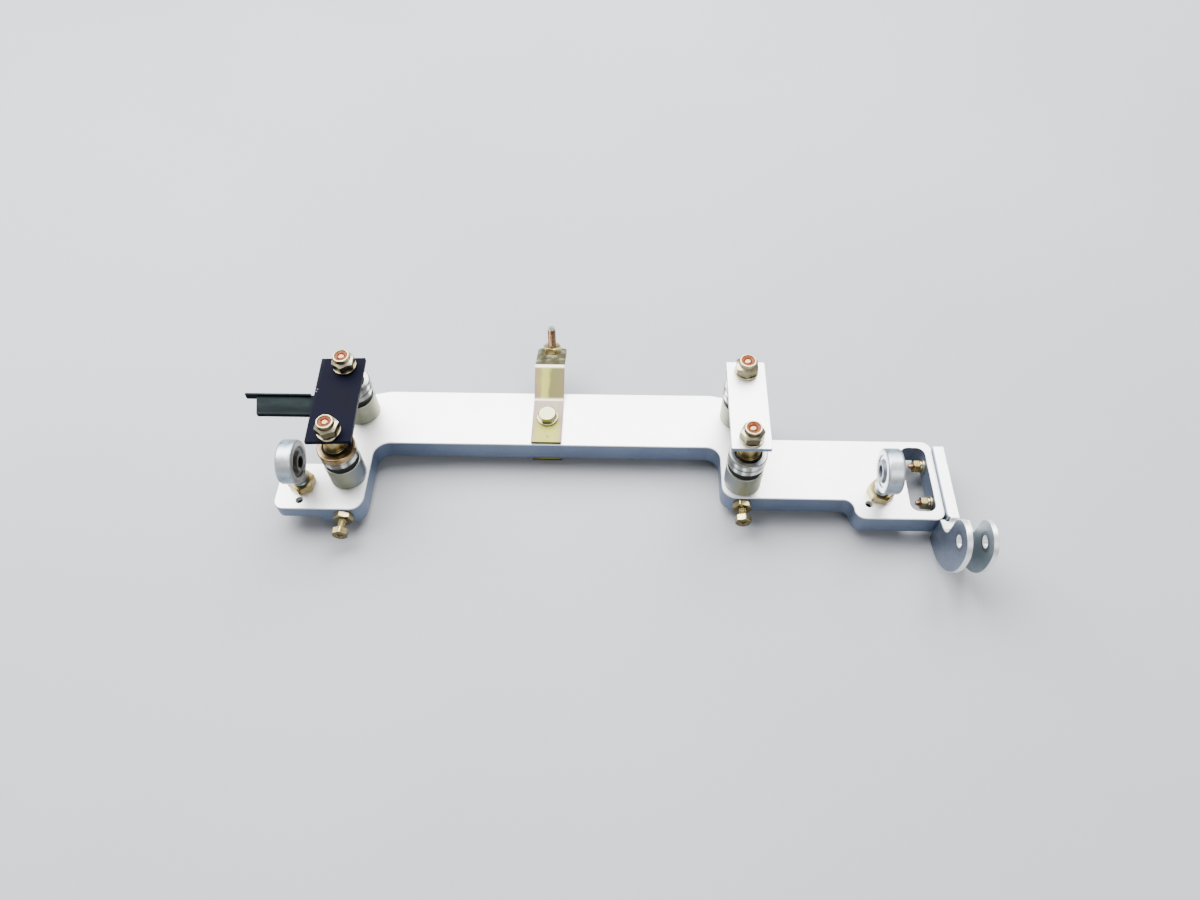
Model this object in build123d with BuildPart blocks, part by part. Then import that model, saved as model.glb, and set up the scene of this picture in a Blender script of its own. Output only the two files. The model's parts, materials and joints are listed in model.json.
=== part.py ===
from build123d import *

import os
from math import cos, radians, sin, sqrt, tan

# Yoke bearing mount: a machined plate whose four posts carry guide rollers for a sliding yoke rail

os.makedirs("parts", exist_ok=True)

# Clearances
thread_clearance = 0.05
running_clearance = 0.05
bolt_hole_clearance = 0.15
contact_gap = 0.02

# Posts, measured between their axes
post_spacing_x = 214.8
post_spacing_y = 42.9
standoff_diameter = 19.9
standoff_height = 14.9
standoff_edge = 0.5
post_bolt_diameter = 6.35
post_bolt_head_flats = 11.1
post_bolt_head_height = 4.0
post_bolt_tip = 0.6
post_bolt_edge = 0.7
slot_travel = 2.0

# Roller bearings
roller_diameter = 20.3
roller_width = 8.1
roller_edge = 0.6
roller_groove_depth = 0.55
roller_groove_width = 1.3
roller_wall = 1.95
ball_diameter = 3.97
ball_count = 7
inner_ring_wall = 2.275
cage_thickness = 0.8
cage_width = 5.2
seal_thickness = 0.7
seal_recess = 0.15
dust_ring_diameter = 18.8
dust_ring_height = 4.5
dust_ring_land_diameter = 9.6
dust_ring_land_height = 0.3

# Spacers and top hardware
spacer_flange_diameter = 12.1
spacer_flange_height = 1.4
spacer_body_diameter = 9.9
spacer_height = 9.9
top_plate_thickness = 2.5
washer_diameter = 12.7
washer_thickness = 1.6
lock_nut_flats = 11.1
lock_nut_hex_height = 5.2
lock_nut_height = 7.9
lock_nut_collar_diameter = 9.3
insert_diameter = 7.9
insert_thickness = 2.2
insert_recess = 0.4
lock_nut_turn = {"front_left": 22, "front_right": 0, "rear_left": 30, "rear_right": 30}

# Mounting plate, seen from above
plate_thickness = 12.7
plate_right = 212.8
left_end_margin = 13.65
lobe_front = -44.0
left_lobe_back = -15.0
left_lobe_inner = -96.5
bar_front = -0.5
bar_back = 35.9
shoulder_x = 93.3
shoulder_back = 29.5
post_margin = 13.6
right_section_left = 96.3
right_section_front = -32.8
right_section_back = 5.6
right_lobe_left = 165.6
corner_radius = 5.4
inner_edge_radius = 7.5
bar_fillet_radius = 8.5
small_fillet_radius = 3.0
shoulder_radius = 10.0
plate_edge = 0.4
relief_depth = 4.7
relief_end = -119.0
relief_slope_length = 3.0

# Slot in the right lobe and the small holes beside the rod ends
slot_width = 13.6
slot_rim = 3.9
slot_front = -39.0
slot_back = 1.5
slot_corner_radius = 4.6
small_hole_diameter = 4.1
left_small_hole_offset = (0, -10.0)
right_small_hole_offset = (-6.7, -6.5)

# Black bracket on the left posts and strap on the right posts
strap_width = 20.3
strap_end_margin = 6.45
bracket_plate_width = 23.7
bracket_end_margin = 5.95
bracket_plate_turn = 2.3
bracket_plate_centre_x = -108.3
arm_length = 42.5
arm_front = -10.7
arm_back = 1.9
arm_end_slant = 3.0
lip_thickness = 1.2
lip_height = 1.4
lip_overhang = 5.6

# Z bracket in the middle of the bar
z_bracket_x = -0.4
z_bracket_width = 17.0
z_bracket_front = 0.5
z_bracket_back = 30.2
z_bracket_thickness = 1.6
z_bracket_bend_radius = 1.6
ramp_length = 19.8
ramp_slope = 30.5
flange_length = 22.5
flange_slope = 23.1
flange_corner = 2.5
stud_from_bend = 18.6
stud_diameter = 4.8
stud_length = 15.4
stud_tip_edge = 0.5
stud_groove_width = 0.5
stud_groove_depth = 0.2
stud_head_diameter = 8.0
stud_head_height = 2.4
stud_nut_flats = 9.5
stud_nut_height = 3.9
stud_nut_turn = -12
bracket_bolt_y = 17.2
bracket_bolt_diameter = 4.8
bracket_bolt_flats = 9.5
bracket_bolt_head_height = 3.2
bracket_washer_diameter = 12.0
bracket_washer_thickness = 1.4
backing_plate_front = -1.1
backing_plate_length = 30.0
backing_plate_thickness = 1.6
backing_nut_height = 3.1

# Rod ends
left_rod_end_from_post = 23.65
right_rod_end_from_post = 72.9
rod_end_y = -28.6
rod_end_height = 22.2
rod_end_head_diameter = 23.8
rod_end_head_width = 8.8
rod_end_head_edge = 0.7
rod_end_shank_diameter = 7.94
rod_end_neck_diameter = 8.8
rod_end_neck_gap = 1.2
rod_end_neck_taper = 1.0
rod_end_thread_depth = 7.4
race_diameter = 16.6
race_width = 7.4
pivot_ball_diameter = 14.6
pivot_ball_width = 10.3
pivot_bore_diameter = 6.4
rod_nut_flats = 12.7
rod_nut_height = 4.8
rod_nut_turn = {"left": 28, "right": 44}

# Adjusting screws in the front edge
adjuster_diameter = 4.2
adjuster_head_flats = 7.9
adjuster_head_height = 3.4
left_adjuster_stand_off = 9.1
right_adjuster_stand_off = 8.2
adjuster_tip_gap = 0.3
adjuster_nut_flats = 9.5
adjuster_nut_height = 3.4
adjuster_head_turn = {"left": -20, "right": 41}
adjuster_nut_turn = {"left": 17, "right": 12}
cross_recess_width = 1.1
cross_recess_length = 4.2
cross_recess_depth = 1.2

# Clevis at the right end
clevis_overlap = 3.6
ear_thickness = 2.6
ear_gap = 10.1
web_thickness = 6.5
clevis_back_gap = 0.1
pin_hole_ahead = 21.7
pin_hole_height = 17.3
pin_hole_diameter = 6.4
ear_radius = 10.9
ear_front_radius = 31.5
ear_top_back = 0.3
ear_fillet_radius = 7.0
ear_bottom = -18.6
ear_edge = 0.3
ear_slope = 16.0
flange_thickness = 5.5
flange_rise = 2.9
flange_drop = 15.4
flange_back = 0.5
flange_fillet_radius = 2.5
corner_relief_radius = 1.1
clevis_screw_diameter = 3.0
clevis_screw_head_diameter = 6.6
clevis_screw_length = 17.6
countersink_angle = 90.0
screw_recess_share = 0.7
clevis_screw_y = (-6.7, -30.3)
clevis_nut_flats = 6.35
clevis_nut_height = 3.6
clevis_washer_diameter = 8.1
clevis_washer_thickness = 1.3
spring_washer_diameter = 6.9
spring_washer_thickness = 1.2

# Dependent sizes: the origin is the centre of the yoke track, midway between the four rollers
post_x = post_spacing_x / 2
post_y = post_spacing_y / 2
left_rod_end_x = -post_x - left_rod_end_from_post
right_rod_end_x = post_x + right_rod_end_from_post
plate_left = left_rod_end_x - left_end_margin
plate_top = -(standoff_height + dust_ring_height + roller_width / 2)
plate_bottom = plate_top - plate_thickness
plate_middle = plate_top - plate_thickness / 2
roller_bottom = -roller_width / 2
roller_top = roller_width / 2
spacer_top = roller_top + spacer_height
top_plate_top = spacer_top + top_plate_thickness
washer_top = top_plate_top + washer_thickness
lock_nut_top = washer_top + lock_nut_height
head_top = plate_bottom - washer_thickness
bolt_hole_diameter = post_bolt_diameter + 2 * bolt_hole_clearance
threaded_bore_diameter = post_bolt_diameter + 2 * thread_clearance
race_land_diameter = roller_diameter - 2 * roller_wall
inner_ring_diameter = threaded_bore_diameter + 2 * inner_ring_wall
ball_circle_radius = (race_land_diameter + inner_ring_diameter) / 4
race_bore_radius = ball_circle_radius + ball_diameter / 2 + running_clearance
inner_groove_radius = ball_circle_radius - ball_diameter / 2 - running_clearance
race_radius = ball_diameter / 2 + running_clearance
race_half_width = sqrt(race_radius**2 - (race_land_diameter / 2 - ball_circle_radius) ** 2)
adjuster_hole_diameter = adjuster_diameter + 2 * running_clearance
rod_end_centre = plate_top + rod_end_height
strap_length = post_spacing_y + 2 * strap_end_margin
bracket_plate_length = post_spacing_y + 2 * bracket_end_margin
clevis_left = plate_right - clevis_overlap
clevis_right = clevis_left + 2 * ear_thickness + ear_gap
clevis_back = lobe_front - clevis_back_gap
flange_left = plate_right + contact_gap
flange_right = flange_left + flange_thickness
pin_hole_y = clevis_back - pin_hole_ahead
pin_hole_z = plate_top + pin_hole_height

posts = {
    "front_left": (-post_x, -post_y),
    "front_right": (post_x, -post_y),
    "rear_left": (-post_x, post_y),
    "rear_right": (post_x, post_y),
}
rod_ends = {"left": left_rod_end_x, "right": right_rod_end_x}
small_holes = [
    (left_rod_end_x + left_small_hole_offset[0], rod_end_y + left_small_hole_offset[1]),
    (right_rod_end_x + right_small_hole_offset[0], rod_end_y + right_small_hole_offset[1]),
]
adjusters = {
    "left": (-post_x, lobe_front, left_adjuster_stand_off),
    "right": (post_x, right_section_front, right_adjuster_stand_off),
}


def save(piece, name):
    """Label a finished piece and write it to its own file."""
    piece.part.label = name
    export_step(piece.part, f"parts/{name}.step")


def level(x, y, z):
    """Horizontal plane with its origin at a point."""
    return Plane(origin=(x, y, z), z_dir=(0, 0, 1))


def facing(x, y, z, direction):
    """Plane at a point whose normal points along the given direction, with its own x level."""
    return Plane(origin=(x, y, z), x_dir=(1, 0, 0) if direction[0] == 0 else (0, 1, 0), z_dir=direction)


def ring_on(plane, outer, inner, height):
    """Add a plain ring to the current part."""
    with BuildSketch(plane) as section:
        Circle(outer / 2)
        Circle(inner / 2, mode=Mode.SUBTRACT)
    extrude(section.sketch, amount=height)


def hexagon_on(plane, flats, height, hole=0.0, turn=0.0):
    """Add a hexagonal nut or bolt head, turned about its axis, to the current part."""
    with BuildSketch(plane) as section:
        RegularPolygon(flats / 2, 6, major_radius=False, rotation=turn)
        if hole > 0:
            Circle(hole / 2, mode=Mode.SUBTRACT)
    extrude(section.sketch, amount=height)


# Mounting plate
plate_corners = [
    (plate_left, lobe_front, corner_radius),
    (left_lobe_inner, lobe_front, inner_edge_radius),
    (left_lobe_inner, bar_front, bar_fillet_radius),
    (right_section_left, bar_front, inner_edge_radius),
    (right_section_left, right_section_front, inner_edge_radius),
    (right_lobe_left, right_section_front, corner_radius),
    (right_lobe_left, lobe_front, corner_radius),
    (plate_right, lobe_front, corner_radius),
    (plate_right, right_section_back, corner_radius),
    (post_x + post_margin, right_section_back, small_fillet_radius),
    (post_x + post_margin, shoulder_back, corner_radius),
    (shoulder_x, bar_back, shoulder_radius),
    (-shoulder_x, bar_back, shoulder_radius),
    (-post_x - post_margin, shoulder_back, corner_radius),
    (-post_x - post_margin, left_lobe_back, small_fillet_radius),
    (plate_left, left_lobe_back, corner_radius),
]
with BuildPart() as mount_plate:
    with BuildSketch(level(0, 0, plate_bottom)) as plate_outline:
        with BuildLine():
            Polyline([(x, y) for x, y, radius in plate_corners], close=True)
        make_face()
        for x, y, radius in plate_corners:
            corner = plate_outline.vertices().sort_by_distance((x, y, 0))[0]
            fillet(corner, radius)
    extrude(amount=plate_thickness)
    chamfer(mount_plate.faces().sort_by(Axis.Z)[-1].edges(), plate_edge)
    # thin underside at the left end, with a sloping step
    with BuildSketch(Plane.XZ.offset(-left_lobe_back)):
        with BuildLine():
            Polyline(
                (plate_left, plate_bottom),
                (relief_end, plate_bottom),
                (relief_end - relief_slope_length, plate_bottom + relief_depth),
                (plate_left, plate_bottom + relief_depth),
                close=True,
            )
        make_face()
    extrude(amount=left_lobe_back - lobe_front, mode=Mode.SUBTRACT)
    # round holes for the rear posts, slotted holes for the adjustable front posts
    with BuildSketch(level(0, 0, plate_bottom)):
        for x, y in posts.values():
            with Locations((x, y)):
                if y > 0:
                    Circle(bolt_hole_diameter / 2)
                else:
                    SlotCenterToCenter(2 * slot_travel, bolt_hole_diameter, rotation=90)
    extrude(amount=plate_thickness, mode=Mode.SUBTRACT)
    # holes for the rod ends, the small holes beside them and the middle bolt
    with BuildSketch(level(0, 0, plate_bottom)):
        for x in rod_ends.values():
            with Locations((x, rod_end_y)):
                Circle(rod_end_shank_diameter / 2 + thread_clearance)
        with Locations(*small_holes):
            Circle(small_hole_diameter / 2)
        with Locations((z_bracket_x, bracket_bolt_y)):
            Circle(bracket_bolt_diameter / 2 + bolt_hole_clearance)
        with Locations((plate_right - slot_rim - slot_width / 2, (slot_front + slot_back) / 2)):
            RectangleRounded(slot_width, slot_back - slot_front, slot_corner_radius)
    extrude(amount=plate_thickness, mode=Mode.SUBTRACT)
    # threaded holes for the adjusting screws, from the front edge into the slotted holes
    for x, front, stand_off in adjusters.values():
        with BuildSketch(facing(x, front, plate_middle, (0, 1, 0))):
            Circle(adjuster_hole_diameter / 2)
        extrude(amount=-post_y - front, mode=Mode.SUBTRACT)
    # screw holes through the rim of the slot
    for y in clevis_screw_y:
        with BuildSketch(facing(plate_right, y, plate_middle, (-1, 0, 0))):
            Circle(clevis_screw_diameter / 2 + bolt_hole_clearance)
        extrude(amount=slot_rim + slot_width / 2, mode=Mode.SUBTRACT)
save(mount_plate, "mount_plate")

# Posts with their roller bearings
for side, (x, y) in posts.items():
    with BuildPart() as standoff:
        ring_on(level(x, y, plate_top), standoff_diameter, bolt_hole_diameter, standoff_height)
        chamfer(standoff.faces().sort_by(Axis.Z)[-1].outer_wire().edges(), standoff_edge)
    save(standoff, f"{side}_standoff")

    with BuildPart() as dust_ring:
        ring_base = plate_top + standoff_height
        body_height = dust_ring_height - dust_ring_land_height
        ring_on(level(x, y, ring_base), dust_ring_diameter, bolt_hole_diameter, body_height)
        land_plane = level(x, y, ring_base + body_height)
        ring_on(land_plane, dust_ring_land_diameter, bolt_hole_diameter, dust_ring_land_height)
    save(dust_ring, f"{side}_dust_ring")

    with BuildPart() as inner_ring:
        with BuildSketch(facing(x, y, 0, (0, -1, 0))):
            with BuildLine():
                Polyline(
                    (inner_ring_diameter / 2, race_half_width),
                    (inner_ring_diameter / 2, roller_top),
                    (threaded_bore_diameter / 2, roller_top),
                    (threaded_bore_diameter / 2, roller_bottom),
                    (inner_ring_diameter / 2, roller_bottom),
                    (inner_ring_diameter / 2, -race_half_width),
                )
                ThreePointArc(
                    (inner_ring_diameter / 2, -race_half_width),
                    (inner_groove_radius, 0),
                    (inner_ring_diameter / 2, race_half_width),
                )
            make_face()
        revolve(axis=Axis((x, y, 0), (0, 0, 1)))
    save(inner_ring, f"{side}_inner_ring")

    with BuildPart() as roller:
        with BuildSketch(facing(x, y, 0, (0, -1, 0))):
            with BuildLine():
                Polyline(
                    (race_land_diameter / 2, -race_half_width),
                    (race_land_diameter / 2, roller_bottom),
                    (roller_diameter / 2 - roller_edge, roller_bottom),
                    (roller_diameter / 2, roller_bottom + roller_edge),
                    (roller_diameter / 2, -roller_groove_width / 2),
                    (roller_diameter / 2 - roller_groove_depth, 0),
                    (roller_diameter / 2, roller_groove_width / 2),
                    (roller_diameter / 2, roller_top - roller_edge),
                    (roller_diameter / 2 - roller_edge, roller_top),
                    (race_land_diameter / 2, roller_top),
                    (race_land_diameter / 2, race_half_width),
                )
                ThreePointArc(
                    (race_land_diameter / 2, race_half_width),
                    (race_bore_radius, 0),
                    (race_land_diameter / 2, -race_half_width),
                )
            make_face()
        revolve(axis=Axis((x, y, 0), (0, 0, 1)))
    save(roller, f"{side}_roller")

    with BuildPart() as seals:
        seal_inner = inner_ring_diameter + 4 * running_clearance
        seal_outer = race_land_diameter - 2 * contact_gap
        for base in (roller_bottom + seal_recess, roller_top - seal_recess - seal_thickness):
            ring_on(level(x, y, base), seal_outer, seal_inner, seal_thickness)
    save(seals, f"{side}_seals")

    with BuildPart() as spacer:
        flange_plane = level(x, y, roller_top)
        ring_on(flange_plane, spacer_flange_diameter, threaded_bore_diameter, spacer_flange_height)
        body_plane = level(x, y, roller_top + spacer_flange_height)
        body_height = spacer_height - spacer_flange_height
        ring_on(body_plane, spacer_body_diameter, threaded_bore_diameter, body_height)
    save(spacer, f"{side}_spacer")

# Balls and cages inside the roller bearings
with BuildPart() as bearing_balls:
    for x, y in posts.values():
        with Locations((x, y, 0)):
            with PolarLocations(ball_circle_radius, ball_count):
                Sphere(ball_diameter / 2)
save(bearing_balls, "bearing_balls")

pocket_width = ball_diameter + 2 * running_clearance
with BuildPart() as bearing_cages:
    for x, y in posts.values():
        cage_diameter = 2 * ball_circle_radius + cage_thickness
        ring_on(level(x, y, -cage_width / 2), cage_diameter, cage_diameter - 2 * cage_thickness, cage_width)
        for index in range(ball_count):
            angle = radians(index * 360 / ball_count)
            with BuildSketch(Plane(origin=(x, y, 0), x_dir=(0, 0, 1), z_dir=(cos(angle), sin(angle), 0))):
                Rectangle(pocket_width, pocket_width)
            extrude(amount=race_bore_radius, mode=Mode.SUBTRACT)
save(bearing_cages, "bearing_cages")

# Bolts, washers and lock nuts of the four posts
with BuildPart() as post_bolts:
    for x, y in posts.values():
        head_plane = level(x, y, head_top - post_bolt_head_height)
        hexagon_on(head_plane, post_bolt_head_flats, post_bolt_head_height)
        with BuildSketch(level(x, y, head_top)):
            Circle(post_bolt_diameter / 2)
        extrude(amount=lock_nut_top - post_bolt_tip - head_top)
    chamfer(post_bolts.faces().sort_by(Axis.Z)[-len(posts):].edges(), post_bolt_edge)
save(post_bolts, "post_bolts")

with BuildPart() as head_washers:
    for x, y in posts.values():
        ring_on(level(x, y, head_top), washer_diameter, threaded_bore_diameter, washer_thickness)
save(head_washers, "head_washers")

with BuildPart() as top_washers:
    for x, y in posts.values():
        ring_on(level(x, y, top_plate_top), washer_diameter, threaded_bore_diameter, washer_thickness)
save(top_washers, "top_washers")

collar_height = lock_nut_height - lock_nut_hex_height
with BuildPart() as lock_nuts:
    for side, (x, y) in posts.items():
        nut_plane = level(x, y, washer_top)
        nut_sizes = (lock_nut_flats, lock_nut_hex_height, threaded_bore_diameter)
        hexagon_on(nut_plane, *nut_sizes, turn=lock_nut_turn[side])
        collar_plane = level(x, y, washer_top + lock_nut_hex_height)
        ring_on(collar_plane, lock_nut_collar_diameter, insert_diameter, collar_height)
save(lock_nuts, "lock_nuts")

with BuildPart() as nut_inserts:
    for x, y in posts.values():
        insert_base = lock_nut_top - insert_recess - insert_thickness
        insert_outer = insert_diameter - 2 * contact_gap
        ring_on(level(x, y, insert_base), insert_outer, threaded_bore_diameter, insert_thickness)
save(nut_inserts, "nut_inserts")

# Strap across the right posts
with BuildPart() as roller_strap:
    with BuildSketch(level(post_x, 0, spacer_top)):
        Rectangle(strap_width, strap_length)
        with GridLocations(0, post_spacing_y, 1, 2):
            Circle(bolt_hole_diameter / 2, mode=Mode.SUBTRACT)
    extrude(amount=top_plate_thickness)
    chamfer(roller_strap.edges().filter_by(Axis.Z).group_by(SortBy.LENGTH)[-1], plate_edge)
save(roller_strap, "roller_strap")

# Black bracket across the left posts, with an arm and a raised lip
arm_root = bracket_plate_centre_x
arm_end = bracket_plate_centre_x - arm_length
with BuildPart() as arm_bracket:
    with BuildSketch(level(0, 0, spacer_top)):
        with Locations((bracket_plate_centre_x, 0)):
            Rectangle(bracket_plate_width, bracket_plate_length, rotation=bracket_plate_turn)
        with BuildLine():
            Polyline(
                (arm_root, arm_front),
                (arm_end + arm_end_slant, arm_front),
                (arm_end, arm_back),
                (arm_root, arm_back),
                close=True,
            )
        make_face()
        for y in (-post_y, post_y):
            with Locations((-post_x, y)):
                Circle(bolt_hole_diameter / 2, mode=Mode.SUBTRACT)
    extrude(amount=top_plate_thickness)
    lip_start = bracket_plate_centre_x - bracket_plate_width / 2 - lip_thickness
    with BuildSketch(level(0, arm_back, spacer_top)):
        with BuildLine():
            Polyline(
                (arm_end - lip_overhang, -lip_thickness),
                (lip_start, -lip_thickness),
                (lip_start, 0),
                (arm_end - lip_overhang, 0),
                close=True,
            )
        make_face()
    extrude(amount=top_plate_thickness + lip_height)
save(arm_bracket, "arm_bracket")

# Z bracket: a foot on the bar, a ramp rising over its back edge and a flange sloping down behind it
foot_top = plate_top + z_bracket_thickness
ramp_top_y = z_bracket_back + ramp_length * cos(radians(ramp_slope))
ramp_top_z = foot_top + ramp_length * sin(radians(ramp_slope))
slope = radians(flange_slope)
flange_end_y = ramp_top_y + flange_length * cos(slope)
flange_end_z = ramp_top_z - flange_length * sin(slope)
stud_y = ramp_top_y + stud_from_bend * cos(slope)
stud_z = ramp_top_z - stud_from_bend * sin(slope)
flange_normal = (0, sin(slope), cos(slope))
stud_plane = facing(z_bracket_x, stud_y, stud_z, flange_normal)
with BuildPart() as z_bracket:
    with BuildSketch(facing(z_bracket_x - z_bracket_width / 2, 0, 0, (1, 0, 0))):
        with BuildLine():
            FilletPolyline(
                (z_bracket_front, foot_top),
                (z_bracket_back, foot_top),
                (ramp_top_y, ramp_top_z),
                (flange_end_y, flange_end_z),
                radius=[z_bracket_bend_radius, z_bracket_bend_radius + z_bracket_thickness],
            )
            offset(amount=z_bracket_thickness, side=Side.RIGHT)
        make_face()
    extrude(amount=z_bracket_width)
    flange_corners = z_bracket.edges().filter_by(Axis((0, 0, 0), flange_normal))
    fillet(flange_corners, flange_corner)
    with BuildSketch(level(z_bracket_x, bracket_bolt_y, plate_top)):
        Circle(bracket_bolt_diameter / 2 + bolt_hole_clearance)
    extrude(amount=z_bracket_thickness, mode=Mode.SUBTRACT)
    with BuildSketch(stud_plane):
        Circle(stud_diameter / 2 + thread_clearance)
    extrude(amount=-z_bracket_thickness, mode=Mode.SUBTRACT)
save(z_bracket, "z_bracket")

with BuildPart() as stop_stud:
    with BuildSketch(stud_plane.offset(-z_bracket_thickness)):
        Circle(stud_head_diameter / 2)
    extrude(amount=-stud_head_height)
    with BuildSketch(stud_plane.offset(-z_bracket_thickness)):
        Circle(stud_diameter / 2)
    extrude(amount=z_bracket_thickness + stud_length)
    chamfer(stop_stud.faces().sort_by(Axis.Z)[-1].edges(), stud_tip_edge)
    # thread run-out groove just above the nut
    with BuildSketch(stud_plane.offset(stud_nut_height)):
        Circle(stud_diameter / 2)
        Circle(stud_diameter / 2 - stud_groove_depth, mode=Mode.SUBTRACT)
    extrude(amount=stud_groove_width, mode=Mode.SUBTRACT)
save(stop_stud, "stop_stud")

with BuildPart() as stud_nut:
    nut_hole = stud_diameter + 2 * thread_clearance
    hexagon_on(stud_plane, stud_nut_flats, stud_nut_height, nut_hole, stud_nut_turn)
save(stud_nut, "stud_nut")

# Bolt that clamps the Z bracket, the bar and the plate under it
backing_bottom = plate_bottom - backing_plate_thickness
bracket_head_base = foot_top + bracket_washer_thickness
with BuildPart() as bracket_bolt:
    head_plane = level(z_bracket_x, bracket_bolt_y, bracket_head_base)
    hexagon_on(head_plane, bracket_bolt_flats, bracket_bolt_head_height)
    with BuildSketch(head_plane):
        Circle(bracket_bolt_diameter / 2)
    extrude(amount=-(bracket_head_base - backing_bottom + backing_nut_height))
save(bracket_bolt, "bracket_bolt")

with BuildPart() as bracket_washer:
    washer_plane = level(z_bracket_x, bracket_bolt_y, foot_top)
    washer_hole = bracket_bolt_diameter + 2 * bolt_hole_clearance
    ring_on(washer_plane, bracket_washer_diameter, washer_hole, bracket_washer_thickness)
save(bracket_washer, "bracket_washer")

with BuildPart() as backing_plate:
    with BuildSketch(level(z_bracket_x, 0, backing_bottom)):
        with Locations((0, backing_plate_front)):
            Rectangle(z_bracket_width, backing_plate_length, align=(Align.CENTER, Align.MIN))
        with Locations((0, bracket_bolt_y)):
            Circle(bracket_bolt_diameter / 2 + bolt_hole_clearance, mode=Mode.SUBTRACT)
    extrude(amount=backing_plate_thickness)
save(backing_plate, "backing_plate")

with BuildPart() as backing_nut:
    nut_plane = level(z_bracket_x, bracket_bolt_y, backing_bottom - backing_nut_height)
    nut_hole = bracket_bolt_diameter + 2 * thread_clearance
    hexagon_on(nut_plane, bracket_bolt_flats, backing_nut_height, nut_hole)
save(backing_nut, "backing_nut")

# Rod ends: an eye on a threaded shank, a race pressed into it and a ball that turns in the race
race_bore = pivot_ball_diameter / 2 + running_clearance
race_mouth = sqrt(race_bore**2 - (race_width / 2) ** 2)
ball_face_radius = sqrt(pivot_ball_diameter**2 - pivot_ball_width**2) / 2
shank_top = plate_top + rod_nut_height + rod_end_neck_gap
eye_wall_middle = (rod_end_head_diameter + race_diameter) / 4
for side, x in rod_ends.items():
    eye_axis = Axis((x, rod_end_y, rod_end_centre), (1, 0, 0))
    shank_axis = Axis((x, rod_end_y, rod_end_centre), (0, 0, 1))
    eye_plane = facing(x - rod_end_head_width / 2, rod_end_y, rod_end_centre, (1, 0, 0))
    section_plane = facing(x, rod_end_y, rod_end_centre, (0, -1, 0))

    with BuildPart() as rod_end_body:
        with BuildSketch(eye_plane):
            Circle(rod_end_head_diameter / 2)
        extrude(amount=rod_end_head_width)
        chamfer(rod_end_body.edges().filter_by(GeomType.CIRCLE), rod_end_head_edge)
        with BuildSketch(facing(x, rod_end_y, 0, (0, -1, 0))):
            with BuildLine():
                Polyline(
                    (0, plate_top - rod_end_thread_depth),
                    (rod_end_shank_diameter / 2, plate_top - rod_end_thread_depth),
                    (rod_end_shank_diameter / 2, shank_top),
                    (rod_end_neck_diameter / 2, shank_top + rod_end_neck_taper),
                    (rod_end_neck_diameter / 2, rod_end_centre - eye_wall_middle),
                    (0, rod_end_centre - eye_wall_middle),
                    close=True,
                )
            make_face()
        revolve(axis=shank_axis)
        with BuildSketch(eye_plane):
            Circle(race_diameter / 2)
        extrude(amount=rod_end_head_width, mode=Mode.SUBTRACT)
    save(rod_end_body, f"{side}_rod_end")

    with BuildPart() as rod_end_race:
        with BuildSketch(section_plane):
            with BuildLine():
                Polyline(
                    (-race_width / 2, race_mouth),
                    (-race_width / 2, race_diameter / 2 - contact_gap),
                    (race_width / 2, race_diameter / 2 - contact_gap),
                    (race_width / 2, race_mouth),
                )
                ThreePointArc((race_width / 2, race_mouth), (0, race_bore), (-race_width / 2, race_mouth))
            make_face()
        revolve(axis=eye_axis)
    save(rod_end_race, f"{side}_race")

    with BuildPart() as pivot_ball:
        with BuildSketch(section_plane):
            with BuildLine():
                Polyline(
                    (-pivot_ball_width / 2, ball_face_radius),
                    (-pivot_ball_width / 2, pivot_bore_diameter / 2),
                    (pivot_ball_width / 2, pivot_bore_diameter / 2),
                    (pivot_ball_width / 2, ball_face_radius),
                )
                ThreePointArc(
                    (pivot_ball_width / 2, ball_face_radius),
                    (0, pivot_ball_diameter / 2),
                    (-pivot_ball_width / 2, ball_face_radius),
                )
            make_face()
        revolve(axis=eye_axis)
    save(pivot_ball, f"{side}_pivot_ball")

    with BuildPart() as rod_nut:
        shank_hole = rod_end_shank_diameter + 2 * thread_clearance
        nut_sizes = (rod_nut_flats, rod_nut_height, shank_hole)
        hexagon_on(level(x, rod_end_y, plate_top), *nut_sizes, turn=rod_nut_turn[side])
    save(rod_nut, f"{side}_rod_nut")

# Adjusting screws, which press the front posts back along their slots
adjuster_tip_y = -post_y - post_bolt_diameter / 2 - adjuster_tip_gap
for side, (x, front, stand_off) in adjusters.items():
    head_back = front - stand_off
    with BuildPart() as adjuster:
        with BuildSketch(facing(x, head_back, plate_middle, (0, 1, 0))):
            Circle(adjuster_diameter / 2)
        extrude(amount=adjuster_tip_y - head_back)
        head_front = facing(x, head_back - adjuster_head_height, plate_middle, (0, 1, 0))
        turn = adjuster_head_turn[side]
        hexagon_on(head_front, adjuster_head_flats, adjuster_head_height, turn=turn)
        with BuildSketch(head_front):
            Rectangle(cross_recess_length, cross_recess_width, rotation=turn)
            Rectangle(cross_recess_width, cross_recess_length, rotation=turn)
        extrude(amount=cross_recess_depth, mode=Mode.SUBTRACT)
    save(adjuster, f"{side}_adjusting_screw")

    with BuildPart() as adjuster_nut:
        nut_plane = facing(x, front - adjuster_nut_height, plate_middle, (0, 1, 0))
        nut_sizes = (adjuster_nut_flats, adjuster_nut_height, adjuster_hole_diameter)
        hexagon_on(nut_plane, *nut_sizes, turn=adjuster_nut_turn[side])
    save(adjuster_nut, f"{side}_adjuster_nut")

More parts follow.
